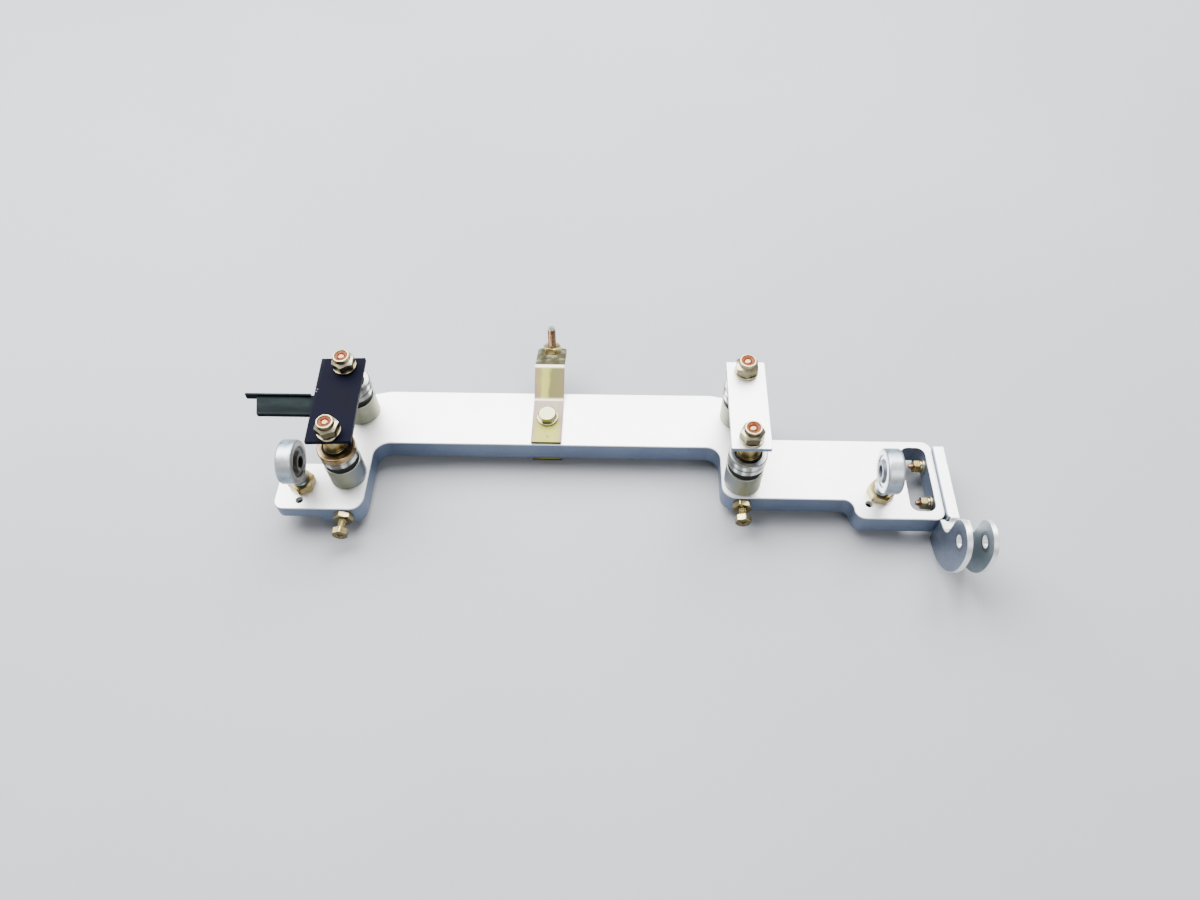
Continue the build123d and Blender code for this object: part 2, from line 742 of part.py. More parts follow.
# Clevis: two ears on a web, with a flange that screws against the end of the plate
ear_bottom_z = plate_top + ear_bottom
ear_back_z = plate_top + ear_top_back
ear_arc_z = ear_bottom_z + ear_front_radius
ear_arc_y = pin_hole_y + sqrt((ear_front_radius - ear_radius) ** 2 - (ear_arc_z - pin_hole_z) ** 2)
front_to_eye = ear_front_radius / (ear_front_radius - ear_radius)
ear_toe = (
    ear_arc_y + (pin_hole_y - ear_arc_y) * front_to_eye,
    ear_arc_z + (pin_hole_z - ear_arc_z) * front_to_eye,
)
ear_heel = (pin_hole_y + ear_radius, pin_hole_z)
ear_notch = (ear_heel[0], ear_back_z + (clevis_back - ear_heel[0]) * tan(radians(ear_slope)))
with BuildPart() as clevis:
    with BuildSketch(facing(clevis_left, 0, 0, (1, 0, 0))) as ear_profile:
        with BuildLine():
            Line((clevis_back, ear_bottom_z), (ear_arc_y, ear_bottom_z))
            ear_front = TangentArc((ear_arc_y, ear_bottom_z), ear_toe, tangent=(-1, 0))
            TangentArc(ear_toe, ear_heel, tangent=ear_front % 1)
            Polyline(ear_heel, ear_notch, (clevis_back, ear_back_z), (clevis_back, ear_bottom_z))
        make_face()
        notch_corner = ear_profile.vertices().sort_by_distance((*ear_notch, 0))[0]
        fillet(notch_corner, ear_fillet_radius)
    extrude(amount=clevis_right - clevis_left)
    chamfer(clevis.faces().filter_by(Axis.X).edges(), ear_edge)
    # gap between the ears, in front of the web
    with BuildSketch(level(clevis_left + ear_thickness, clevis_back - web_thickness, ear_bottom_z)):
        Rectangle(ear_gap, 2 * ear_front_radius, align=(Align.MIN, Align.MAX))
    extrude(amount=2 * ear_front_radius, mode=Mode.SUBTRACT)
    # flange with a rounded root behind the ears
    with BuildSketch(level(flange_left, clevis_back, plate_top - flange_drop)) as flange_root:
        Rectangle(flange_thickness, flange_back - clevis_back, align=(Align.MIN, Align.MIN))
        Rectangle(clevis_right - ear_edge - flange_left, web_thickness, align=(Align.MIN, Align.MAX))
        root_corner = flange_root.vertices().sort_by_distance((flange_thickness, 0, 0))[0]
        fillet(root_corner, flange_fillet_radius)
    extrude(amount=flange_drop + ear_top_back)
    with BuildSketch(level(flange_left, clevis_back, plate_top - flange_drop)):
        Rectangle(flange_thickness, flange_back - clevis_back, align=(Align.MIN, Align.MIN))
    extrude(amount=flange_drop + flange_rise)
    # relief for the corner of the plate
    with BuildSketch(level(flange_left, clevis_back, ear_bottom_z)):
        Circle(corner_relief_radius)
    extrude(amount=flange_rise - ear_bottom, mode=Mode.SUBTRACT)
    # pin hole through both ears
    with BuildSketch(facing(clevis_left, pin_hole_y, pin_hole_z, (1, 0, 0))):
        Circle(pin_hole_diameter / 2)
    extrude(amount=clevis_right - clevis_left, mode=Mode.SUBTRACT)
    # countersunk screw holes through the flange
    for y in clevis_screw_y:
        with Locations(facing(flange_right, y, plate_middle, (1, 0, 0))):
            CounterSinkHole(
                radius=clevis_screw_diameter / 2 + bolt_hole_clearance,
                counter_sink_radius=clevis_screw_head_diameter / 2,
                depth=flange_thickness,
                counter_sink_angle=countersink_angle,
            )
save(clevis, "clevis")

screw_radius = clevis_screw_diameter / 2
head_radius = clevis_screw_head_diameter / 2 - contact_gap
head_depth = (head_radius - screw_radius) / tan(radians(countersink_angle / 2))
with BuildPart() as clevis_screws:
    for y in clevis_screw_y:
        with BuildSketch(Plane(origin=(flange_right, y, plate_middle), x_dir=(-1, 0, 0), z_dir=(0, 1, 0))):
            with BuildLine():
                Polyline(
                    (contact_gap, 0),
                    (contact_gap, head_radius),
                    (contact_gap + head_depth, screw_radius),
                    (clevis_screw_length, screw_radius),
                    (clevis_screw_length, 0),
                    close=True,
                )
            make_face()
        revolve(axis=Axis((flange_right, y, plate_middle), (1, 0, 0)))
        with BuildSketch(facing(flange_right - contact_gap, y, plate_middle, (1, 0, 0))):
            Rectangle(cross_recess_length * screw_recess_share, cross_recess_width)
            Rectangle(cross_recess_width, cross_recess_length * screw_recess_share)
        extrude(amount=-cross_recess_depth, mode=Mode.SUBTRACT)
save(clevis_screws, "clevis_screws")

slot_wall_x = plate_right - slot_rim
spring_seat_x = slot_wall_x - clevis_washer_thickness - contact_gap
nut_seat_x = spring_seat_x - spring_washer_thickness
screw_hole = clevis_screw_diameter + 2 * thread_clearance
with BuildPart() as clevis_washers:
    for y in clevis_screw_y:
        washer_plane = facing(slot_wall_x, y, plate_middle, (-1, 0, 0))
        ring_on(washer_plane, clevis_washer_diameter, screw_hole, clevis_washer_thickness)
        spring_plane = facing(spring_seat_x, y, plate_middle, (-1, 0, 0))
        ring_on(spring_plane, spring_washer_diameter, screw_hole, spring_washer_thickness)
save(clevis_washers, "clevis_washers")

with BuildPart() as clevis_nuts:
    for y in clevis_screw_y:
        nut_plane = facing(nut_seat_x, y, plate_middle, (-1, 0, 0))
        hexagon_on(nut_plane, clevis_nut_flats, clevis_nut_height, screw_hole)
save(clevis_nuts, "clevis_nuts")
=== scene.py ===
"""Looks of the yoke bearing mount: finishes, threads, softened edges, floor, light and camera."""

import json
from math import acos, asin, cos, pi, radians, sin, tan

import bmesh
import bpy
from mathutils import Matrix, Vector


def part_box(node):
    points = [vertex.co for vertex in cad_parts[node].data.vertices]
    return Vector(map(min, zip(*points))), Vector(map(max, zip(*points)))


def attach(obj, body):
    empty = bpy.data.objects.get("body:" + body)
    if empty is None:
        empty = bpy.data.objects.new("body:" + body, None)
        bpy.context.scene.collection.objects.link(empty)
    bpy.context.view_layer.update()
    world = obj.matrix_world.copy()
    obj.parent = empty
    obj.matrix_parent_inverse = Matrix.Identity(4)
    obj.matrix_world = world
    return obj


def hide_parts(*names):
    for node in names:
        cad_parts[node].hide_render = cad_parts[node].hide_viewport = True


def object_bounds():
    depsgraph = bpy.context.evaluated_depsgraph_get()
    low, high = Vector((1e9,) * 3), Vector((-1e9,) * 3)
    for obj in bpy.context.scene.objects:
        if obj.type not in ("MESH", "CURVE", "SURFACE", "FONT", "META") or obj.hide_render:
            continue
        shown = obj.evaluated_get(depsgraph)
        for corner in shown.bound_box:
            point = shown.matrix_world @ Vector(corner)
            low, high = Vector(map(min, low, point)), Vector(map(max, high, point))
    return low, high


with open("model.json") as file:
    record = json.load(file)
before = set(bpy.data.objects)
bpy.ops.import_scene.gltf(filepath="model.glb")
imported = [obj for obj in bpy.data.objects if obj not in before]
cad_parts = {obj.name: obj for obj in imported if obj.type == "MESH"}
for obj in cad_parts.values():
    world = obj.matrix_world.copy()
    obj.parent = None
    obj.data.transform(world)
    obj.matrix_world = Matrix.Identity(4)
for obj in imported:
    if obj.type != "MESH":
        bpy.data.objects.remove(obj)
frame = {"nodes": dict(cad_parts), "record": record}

cad_low, cad_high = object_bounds()

MM = 0.001
TURN = 2 * pi
POSTS = ("front_left", "front_right", "rear_left", "rear_right")
SIDES = ("left", "right")

# Sizes of the standard hardware, which the node boxes don't give
BOLT_RADIUS = 3.175 * MM
NUT_BORE = 3.2 * MM
HOLE_RADIUS = 3.325 * MM
LOCK_NUT_FLATS = 11.1 * MM
LOCK_NUT_HEX = 5.2 * MM
LOCK_NUT_TURN = {"front_left": 22, "front_right": 0, "rear_left": 30, "rear_right": 30}
STUD_RADIUS = 2.4 * MM
STUD_MOUNT_HEIGHT = 9.65 * MM
STUD_LENGTH = 15.4 * MM
STUD_NUT_FLATS = 9.5 * MM
STUD_NUT_HEIGHT = 3.9 * MM
STUD_NUT_TURN = -12
FLANGE_THICKNESS = 1.6 * MM
BRACKET_BOLT_FLATS = 9.5 * MM
BRACKET_BOLT_HEAD = 3.2 * MM
ROD_SHANK_RADIUS = 3.97 * MM
ROD_NECK_RADIUS = 4.4 * MM
ROD_NUT_FLATS = 12.7 * MM
ROD_NUT_TURN = {"left": 28, "right": 44}
ADJUSTER_RADIUS = 2.1 * MM
ADJUSTER_HEAD_FLATS = 7.9 * MM
ADJUSTER_HEAD = 3.4 * MM
ADJUSTER_HEAD_TURN = {"left": -20, "right": 41}
ADJUSTER_NUT_FLATS = 9.5 * MM
ADJUSTER_NUT_TURN = {"left": 17, "right": 12}
CLEVIS_SCREW_RADIUS = 1.5 * MM
CLEVIS_NUT_FLATS = 6.35 * MM
COARSE_PITCH = 0.79 * MM
FINE_PITCH = 1.06 * MM
SMALL_PITCH = 0.64 * MM

# Reach, width and depth of the cross recesses
ADJUSTER_RECESS = (4.2 * MM, 1.1 * MM, 1.2 * MM)
CLEVIS_RECESS = (2.9 * MM, 1.0 * MM, 1.2 * MM)


# Materials


class Finish:
    """One procedural material while its nodes are being joined."""

    def __init__(self, name):
        self.material = bpy.data.materials.new(name)
        self.material.use_nodes = True
        self.tree = self.material.node_tree
        self.surface = self.tree.nodes["Principled BSDF"]
        coordinates = self.node("TexCoord").outputs
        self.place = coordinates["Object"]
        self.normal = coordinates["Normal"]
        self.across, self.back, self.height = self.parts(self.place)
        self.normal_across, self.normal_back, self.normal_up = self.parts(self.normal)

    def feed(self, socket, value):
        """Link a value that comes from a node, or set a constant; a colour is three numbers."""
        if isinstance(value, bpy.types.NodeSocket):
            self.tree.links.new(value, socket)
        else:
            socket.default_value = (*value, 1) if socket.type == "RGBA" else value

    def node(self, kind, inputs=(), **settings):
        """Node with its inputs fed from a dictionary, and its settings."""
        made = self.tree.nodes.new("ShaderNode" + kind)
        for key, value in settings.items():
            setattr(made, key, value)
        for key, value in dict(inputs).items():
            self.feed(made.inputs[key], value)
        return made

    def parts(self, vector):
        """The three numbers of a vector."""
        numbers = self.node("SeparateXYZ", {"Vector": vector}).outputs
        return numbers["X"], numbers["Y"], numbers["Z"]

    def stretched(self, factors):
        """Object coordinates scaled along each axis."""
        return self.node("Mapping", {"Scale": factors, "Vector": self.place}).outputs["Vector"]

    def noise(self, scale, detail=3.0, roughness=0.5, place=None):
        inputs = {"Scale": scale, "Detail": detail, "Roughness": roughness, "Vector": place or self.place}
        return self.node("TexNoise", inputs).outputs["Fac"]

    def ramp(self, factor, *stops):
        """Colour or grey ramp from (place, colour) stops."""
        made = self.node("ValToRGB", {"Fac": factor})
        points = made.color_ramp.elements
        while len(points) < len(stops):
            points.new(0.5)
        for point, (position, colour) in zip(points, stops):
            point.position = position
            point.color = (*colour, 1)
        return made.outputs["Color"]

    def tones(self, factor, dark, light, start=0.35, stop=0.65):
        """Ramp from one colour to another."""
        return self.ramp(factor, (start, dark), (stop, light))

    def spread(self, value, low, high, start=0.3, stop=0.7):
        """Map a range of a value to another range."""
        limits = {"From Min": start, "From Max": stop, "To Min": low, "To Max": high}
        return self.node("MapRange", {**limits, "Value": value}).outputs["Result"]

    def above(self, value, limit, blur):
        """Mask that turns from 0 to 1 where a value passes a limit."""
        return self.spread(value, 0.0, 1.0, limit - blur / 2, limit + blur / 2)

    def below(self, value, limit, blur):
        """Mask that turns from 1 to 0 where a value passes a limit."""
        return self.spread(value, 1.0, 0.0, limit - blur / 2, limit + blur / 2)

    def between(self, value, low, high, blur):
        return self.times(self.above(value, low, blur), self.below(value, high, blur))

    def math(self, operation, first, second, clamped=True):
        made = self.node("Math", {0: first, 1: second}, operation=operation, use_clamp=clamped)
        return made.outputs["Value"]

    def times(self, *factors):
        """Product of several masks."""
        product = factors[0]
        for factor in factors[1:]:
            product = self.math("MULTIPLY", product, factor)
        return product

    def most(self, *masks):
        """The brightest of several masks at each place."""
        brightest = masks[0]
        for mask in masks[1:]:
            brightest = self.math("MAXIMUM", brightest, mask)
        return brightest

    def mix(self, factor, first, second):
        """Mix two colours by a factor."""
        inputs = {"Factor": factor, "A": first, "B": second}
        return self.node("Mix", inputs, data_type="RGBA").outputs["Result"]

    def compared(self, operation, first, second):
        """Number that a vector operation makes of two vectors."""
        return self.node("VectorMath", {0: first, 1: second}, operation=operation).outputs["Value"]

    def along(self, origin, direction):
        """How far a point lies along an axis."""
        offset = self.node("VectorMath", {0: self.place, 1: origin}, operation="SUBTRACT")
        return self.compared("DOT_PRODUCT", offset.outputs["Vector"], direction)

    def near(self, place, radius, blur, **numbers):
        """Mask of what lies near an axis; the numbers are the coordinates that count."""
        level = self.node("CombineXYZ", numbers).outputs["Vector"]
        return self.below(self.compared("DISTANCE", level, place), radius, blur)

    def disc(self, x, y, radius, blur):
        """Mask of what lies near a vertical axis."""
        return self.near((x, y, 0), radius, blur, X=self.across, Y=self.back)

    def edges(self, radius):
        """Mask that is bright near edges, from a bevelled normal."""
        bevelled = self.node("Bevel", {"Radius": radius}, samples=4).outputs["Normal"]
        geometry = self.node("NewGeometry").outputs["Normal"]
        alike = self.compared("DOT_PRODUCT", bevelled, geometry)
        return self.math("MULTIPLY", self.math("SUBTRACT", 1.0, alike, clamped=False), EDGE_MASK_GAIN)

    def bump(self, height, strength, distance=0.05 * MM):
        inputs = {"Height": height, "Strength": strength, "Distance": distance}
        self.feed(self.surface.inputs["Normal"], self.node("Bump", inputs).outputs["Normal"])

    def finish(self, colour, roughness, metallic=1.0, specular=0.5):
        inputs = self.surface.inputs
        self.feed(inputs["Base Color"], colour)
        self.feed(inputs["Roughness"], roughness)
        inputs["Metallic"].default_value = metallic
        inputs["Specular IOR Level"].default_value = specular
        return self.material


def machined_plate():
    """Satin milled aluminium with a bright top; the sides are darker with painted shade, blue-grey in front
    with a painted reflection and plain grey at the rear; painted light makes the hole walls pale above
    painted shade at their bottoms; a painted highlight runs along the top edge.
    """
    made = Finish("machined_plate")
    cloud = made.noise(22, 4, 0.55)
    grain = made.noise(260, 3, 0.6, made.stretched((1, 14, 14)))
    face = made.tones(cloud, (0.88, 0.88, 0.87), (0.95, 0.95, 0.94))
    # Painted shade: the sides are a darker copy of the top, and the front sides take a painted blue
    # reflection
    shaded_side = made.tones(cloud, (0.25, 0.265, 0.285), (0.32, 0.335, 0.355))
    blue_reflection_side = made.tones(cloud, (0.128, 0.165, 0.245), (0.168, 0.212, 0.305))
    right_of_start = made.above(made.across, BLUE_REFLECTION_START, 2 * MM)
    in_front = made.times(right_of_start, made.below(made.back, BLUE_REFLECTION_BACK, 2 * MM))
    blue = made.most(made.below(made.normal_back, -0.4, 0.3), in_front)
    side = made.mix(blue, shaded_side, blue_reflection_side)
    # Painted light makes the hole walls pale; painted shade makes them nearly black towards their bottoms
    hole_wall = made.most(*(made.disc(x, y, 3 * MM, 1 * MM) for x, y in HOLES))
    upright = made.below(made.normal_up, 0.5, 0.2)
    hole_bottom_shade = made.times(hole_wall, upright, made.below(made.height, HOLE_SHADE_START, 0.9 * MM))
    bright = made.most(made.above(made.normal_up, 0.55, 0.3), hole_wall)
    colour = made.mix(bright, side, face)
    specks = made.tones(made.noise(900, 1, 0.3), (0, 0, 0), (1, 1, 1), 0.70, 0.78)
    colour = made.mix(made.times(specks, 0.15), colour, (0.55, 0.56, 0.56))
    # Painted highlight along the top edge
    top_edge_highlight = made.times(made.edges(0.6 * MM), made.above(made.height, PLATE_EDGE_START, 0.4 * MM), 0.7)
    colour = made.mix(top_edge_highlight, colour, (0.93, 0.94, 0.95))
    colour = made.mix(made.times(hole_bottom_shade, 0.97), colour, (0.010, 0.011, 0.012))
    made.bump(grain, 0.06, 0.2 * MM)
    return made.finish(colour, made.spread(grain, 0.38, 0.50), 0.7)


def bare_aluminium():
    """Bare machined aluminium of the clevis with bright tops; the sides are darker with painted shade,
    blue-grey on the left with a painted reflection and plain grey on the right; painted highlights brighten
    the rims.
    """
    made = Finish("bare_aluminium")
    cloud = made.noise(60, 4, 0.6)
    lines = made.noise(500, 2, 0.6, made.stretched((10, 1, 1)))
    # Painted shade with a painted blue reflection on the left sides, lighter on the far ear
    flank = made.tones(cloud, (0.135, 0.162, 0.225), (0.185, 0.22, 0.295))
    far_flank = made.tones(cloud, (0.25, 0.31, 0.345), (0.33, 0.40, 0.44))
    flank = made.mix(made.above(made.across, PIN_HOLE.x, 1 * MM), flank, far_flank)
    spot_face = made.near((0, *PIN_HOLE.yz), 5.3 * MM, 0.4 * MM, Y=made.back, Z=made.height)
    flank = made.mix(made.times(0.60, spot_face), flank, (0.10, 0.11, 0.13))
    face = made.tones(cloud, (0.88, 0.89, 0.89), (0.95, 0.96, 0.96))
    # Painted shade on the right sides
    shaded_flank = made.tones(cloud, (0.36, 0.38, 0.40), (0.46, 0.48, 0.50))
    colour = made.mix(made.below(made.normal_across, -0.75, 0.2), face, flank)
    colour = made.mix(made.above(made.normal_across, 0.75, 0.2), colour, shaded_flank)
    # Painted highlight along the rims
    colour = made.mix(made.times(made.edges(0.5 * MM), 0.6), colour, (0.9, 0.91, 0.92))
    made.bump(lines, 0.12, 0.2 * MM)
    return made.finish(colour, made.spread(lines, 0.34, 0.48), 0.8)


def plated(name, dark, light, scale=150, tint=None, shade=None, level=None, pale_tip=False):
    """Plated steel in two close tones; painted shade may darken its sides, more so in front, and its level
    faces.
    """
    made = Finish(name)
    blotches = made.noise(scale, 2, 0.5)
    colour = made.tones(blotches, dark, light)
    if tint:
        patches = made.tones(made.noise(scale * 1.7, 2, 0.5), (0, 0, 0), (1, 1, 1), 0.52, 0.66)
        colour = made.mix(made.times(patches, 0.4), colour, tint)
    # Painted shade on the sides, strongest at the front
    if shade:
        front_shade_share = made.spread(made.back, 0.88, 0.40, -20 * MM, 20 * MM)
        colour = made.mix(made.times(made.below(made.normal_up, 0.30, 0.5), front_shade_share), colour, shade)
    # Painted shade on the level faces
    if level:
        colour = made.mix(made.times(made.above(made.normal_up, 0.93, 0.08), 0.7), colour, level)
    if pale_tip:
        middle, direction = mount("stop_stud_end")
        tip = middle + direction * (STUD_LENGTH - STUD_MOUNT_HEIGHT)
        past_thread = made.above(made.along(tip, direction), -1.3 * MM, 0.4 * MM)
        colour = made.mix(past_thread, colour, (0.86, 0.84, 0.72))
    made.bump(made.noise(2400, 2, 0.6), 0.04)
    return made.finish(colour, made.spread(blotches, 0.25, 0.36))


def shaded_steel(name, dark, light):
    """Bearing steel darkened by painted shade, with a dulled shine."""
    made = Finish(name)
    steel_mottle = made.noise(300, 2, 0.5)
    colour = made.tones(steel_mottle, dark, light)
    return made.finish(colour, made.spread(steel_mottle, 0.30, 0.45), 0.3, 0.25)


def zinc_steel():
    """Zinc plating of the rod ends with a bluish mottle; a painted highlight makes the faces towards the
    front and above and the left faces white; painted shade darkens the right faces.
    """
    made = Finish("zinc_steel")
    mottle = made.noise(330, 3, 0.55)
    bluish = made.tones(mottle, (0.20, 0.26, 0.32), (0.36, 0.42, 0.48))
    highlight_white = made.tones(mottle, (0.80, 0.82, 0.82), (0.88, 0.90, 0.90))
    # Painted highlight on faces towards the front and above, and on the left faces
    facing = made.compared("DOT_PRODUCT", made.normal, (0, -0.55, 0.83))
    left_face = made.below(made.normal_across, -0.8, 0.2)
    lit = made.most(made.above(facing, 0.88, 0.26), made.times(left_face, 0.8))
    colour = made.mix(lit, bluish, highlight_white)
    # Painted shade on the right faces
    shaded_right_face = made.above(made.normal_across, 0.7, 0.3)
    colour = made.mix(made.times(shaded_right_face, 0.85), colour, (0.27, 0.25, 0.23))
    made.bump(made.noise(1800, 2, 0.6), 0.08)
    return made.finish(colour, made.spread(mottle, 0.32, 0.44), 0.8)


def turned_steel(name, straw=False):
    """Polished bearing steel with turning rings, and painted dark and bright reflection bands on its upright
    faces; the upper half may be straw-coloured.
    """
    made = Finish(name)
    rings = made.noise(900, 2, 0.6, made.stretched((0.05, 0.05, 6)))
    reflection_bands = made.noise(230, 1, 0.4, made.stretched((1, 1, 0.05)))
    clean = made.tones(rings, (0.27, 0.27, 0.255), (0.43, 0.43, 0.41), 0.3, 0.7)
    upright = made.below(made.normal_up, 0.6, 0.3)
    # Painted reflection: dark and bright bands on the upright faces
    colour = made.mix(made.times(upright, made.below(reflection_bands, 0.47, 0.10), 0.85), clean, (0.10, 0.10, 0.10))
    colour = made.mix(made.times(upright, made.above(reflection_bands, 0.56, 0.08)), colour, (0.86, 0.86, 0.84))
    if straw:
        # Straw colour on the upper half
        stain = made.noise(140, 3, 0.5)
        straw_tone = made.tones(stain, (0.15, 0.095, 0.04), (0.36, 0.26, 0.13))
        colour = made.mix(made.above(made.height, 0.5 * MM, 0.4 * MM), colour, straw_tone)
    made.bump(rings, 0.10)
    return made.finish(colour, made.spread(rings, 0.24, 0.36))


def standoff_grey():
    """Dull grey-green anodising with turning rings under the top rim; painted blue shade darkens the sides of
    the front posts that face the recess, and a painted highlight runs along the top rim.
    """
    made = Finish("standoff_grey")
    cloud = made.noise(110, 4, 0.6)
    colour = made.tones(cloud, (0.20, 0.21, 0.15), (0.285, 0.29, 0.21), 0.32, 0.68)
    # Painted blue shade on the sides of the front posts that face the recess
    outward = made.math("MULTIPLY", made.across, made.normal_across, clamped=False)
    shade_towards_recess = made.times(made.below(outward, -0.060, 0.06), made.below(made.back, 0, 1 * MM))
    colour = made.mix(made.times(shade_towards_recess, 0.8), colour, (0.11, 0.14, 0.19))
    rings = made.noise(700, 2, 0.7, made.stretched((0.02, 0.02, 5)))
    near_top = made.above(made.height, STANDOFF_RING_START, 1.5 * MM)
    colour = made.mix(made.times(near_top, made.above(rings, 0.55, 0.1), 0.35), colour, (0.20, 0.21, 0.19))
    # Painted highlight along the top rim
    colour = made.mix(made.times(near_top, made.edges(0.5 * MM)), colour, (0.90, 0.91, 0.88))
    made.bump(rings, 0.12)
    return made.finish(colour, made.spread(cloud, 0.34, 0.48), 0.85)


def black_paint():
    """Satin black paint with a navy cast; a painted reflection turns the arm's top green-grey, with dark
    streaks and a few scratches on it; the edges are lighter in patches.
    """
    made = Finish("black_paint")
    cloud = made.noise(45, 4, 0.6)
    paint = made.tones(cloud, (0.0015, 0.0017, 0.006), (0.0033, 0.0038, 0.012), 0.3, 0.7)
    streaks = made.noise(160, 3, 0.6, made.stretched((0.25, 1, 1)))
    # Painted reflection: the arm's top is green-grey
    arm_reflection = made.tones(streaks, (0.004, 0.007, 0.008), (0.011, 0.017, 0.018), stop=0.62)
    on_arm = made.times(made.below(made.across, ARM_ROOT, 4 * MM), made.above(made.normal_up, 0.8, 0.1))
    colour = made.mix(on_arm, paint, arm_reflection)
    dark_streak = made.times(
        made.between(made.back, ARM_STREAK_Y - 0.8 * MM, ARM_STREAK_Y + 0.8 * MM, 0.8 * MM),
        made.above(streaks, 0.46, 0.1),
        on_arm,
    )
    colour = made.mix(made.times(dark_streak, 0.7), colour, (0.003, 0.003, 0.005))
    for x, y in SCRATCHES:
        line = made.times(
            made.between(made.across, x - 0.55 * MM, x + 0.55 * MM, 0.4 * MM),
            made.between(made.back, y - 0.2 * MM, y + 0.2 * MM, 0.2 * MM),
            made.above(made.noise(2600, 1, 0.5), 0.42, 0.1),
        )
        colour = made.mix(made.times(line, 0.8), colour, (0.34, 0.34, 0.35))
    # Edges lighter in patches
    pale_edge_patches = made.times(made.edges(0.3 * MM), made.spread(made.noise(300), 0.0, 0.35))
    colour = made.mix(pale_edge_patches, colour, (0.10, 0.11, 0.13))
    made.bump(made.noise(1800, 2, 0.5), 0.08)
    return made.finish(colour, made.spread(cloud, 0.45, 0.58), 0.0, 0.03)


def yellow_chromate():
    """Iridescent chromate: yellow foot with pink margins and a banded ramp; painted shade makes the flange
    dark and patchy and the front end faces nearly black; painted highlights brighten the bends; painted shade
    marks a dimple.
    """
    made = Finish("yellow_chromate")
    low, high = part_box("z_bracket")
    drift = made.spread(made.noise(120, 3, 0.5, made.stretched((1, 0.35, 1))), -0.08, 0.08)
    share = made.spread(made.across, 0.0, 1.0, low.x, high.x)
    across = made.math("ADD", share, drift, clamped=False)
    foot = made.ramp(
        across,
        (0.02, (0.30, 0.21, 0.21)),
        (0.14, (0.36, 0.33, 0.080)),
        (0.55, (0.38, 0.38, 0.075)),
        (0.86, (0.35, 0.33, 0.085)),
        (0.98, (0.27, 0.20, 0.18)),
    )
    pink = made.between(made.back, 19 * MM, 33 * MM, 9 * MM)
    foot = made.mix(made.times(pink, made.spread(made.noise(150), 0.45, 1.0)), foot, (0.33, 0.24, 0.25))
    ramp = made.ramp(
        across,
        (0.04, (0.36, 0.25, 0.17)),
        (0.18, (0.40, 0.35, 0.12)),
        (0.26, (0.56, 0.56, 0.13)),
        (0.46, (0.54, 0.52, 0.12)),
        (0.56, (0.22, 0.22, 0.08)),
        (0.97, (0.26, 0.21, 0.105)),
    )
    patches = made.noise(140, 2, 0.5)
    # Painted shade: the flange is a dark, patchy copy of the chromate
    flange = made.ramp(
        patches,
        (0.36, (0.030, 0.028, 0.014)),
        (0.52, (0.080, 0.074, 0.042)),
        (0.66, (0.27, 0.26, 0.17)),
    )
    colour = made.mix(made.above(made.back, Z_FOOT_END, 0.6 * MM), foot, ramp)
    colour = made.mix(made.above(made.back, Z_RAMP_END, 0.6 * MM), colour, flange)
    # Painted highlights on the bends
    for bend, width in ((Z_FOOT_END, 0.7 * MM), (Z_RAMP_END, 1.1 * MM)):
        glint = made.times(made.between(made.back, bend - width, bend + width, 0.9 * MM), BEND_GLINT)
        colour = made.mix(glint, colour, (1.0, 0.98, 0.72))
    # Painted shade on the front end faces
    shaded_front_end = made.below(made.normal_back, -0.8, 0.1)
    colour = made.mix(shaded_front_end, colour, (0.030, 0.032, 0.036))
    # Painted shade marks a dimple
    colour = made.mix(made.times(made.disc(*DIMPLE, 0.8 * MM, 0.7 * MM), 0.8), colour, (0.16, 0.17, 0.07))
    made.bump(made.noise(1500, 2, 0.5), 0.05)
    return made.finish(colour, made.spread(patches, 0.40, 0.50), 0.12, 0.12)


def rubbery(name, scale, roughness, dark, light, depth, dullest):
    """Dull rubber or plastic."""
    made = Finish(name)
    cloud = made.noise(scale, 3, roughness)
    made.bump(cloud, depth, 0.1 * MM)
    return made.finish(made.tones(cloud, dark, light), made.spread(cloud, 0.35, dullest), 0.0, 0.15)


# Places and strengths that the materials need


def axis_of(node):
    """Centre of a node's box, seen from above."""
    low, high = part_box(node)
    return (low.x + high.x) / 2, (low.y + high.y) / 2


def mount(name):
    """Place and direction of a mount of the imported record."""
    found = next(entry for entry in frame["record"]["mounts"] if entry["name"] == name)
    return Vector(found["pos_m"]), Vector(found["axis"])


HOLES = [mount(f"{side}_locating_hole")[0].xy for side in SIDES]
PIN_HOLE = mount("clevis_pin_bore")[0]
PLATE_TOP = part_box("mount_plate")[1].z
HOLE_SHADE_START = PLATE_TOP - 3.3 * MM
PLATE_EDGE_START = PLATE_TOP - 0.8 * MM
BLUE_REFLECTION_START = -100 * MM
BLUE_REFLECTION_BACK = 3 * MM
EDGE_MASK_GAIN = 6.0
BEND_GLINT = 0.85
STANDOFF_RING_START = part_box("front_left_standoff")[1].z - 5 * MM
ARM_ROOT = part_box("arm_bracket")[0].x + 36 * MM
ARM_STREAK_Y = -8.5 * MM
SCRATCHES = ((-119.3 * MM, 6.0 * MM), (-119.7 * MM, 4.4 * MM))
Z_FOOT_END = 30.2 * MM
Z_RAMP_END = 47.3 * MM
DIMPLE = (0.3 * MM, 4.3 * MM)

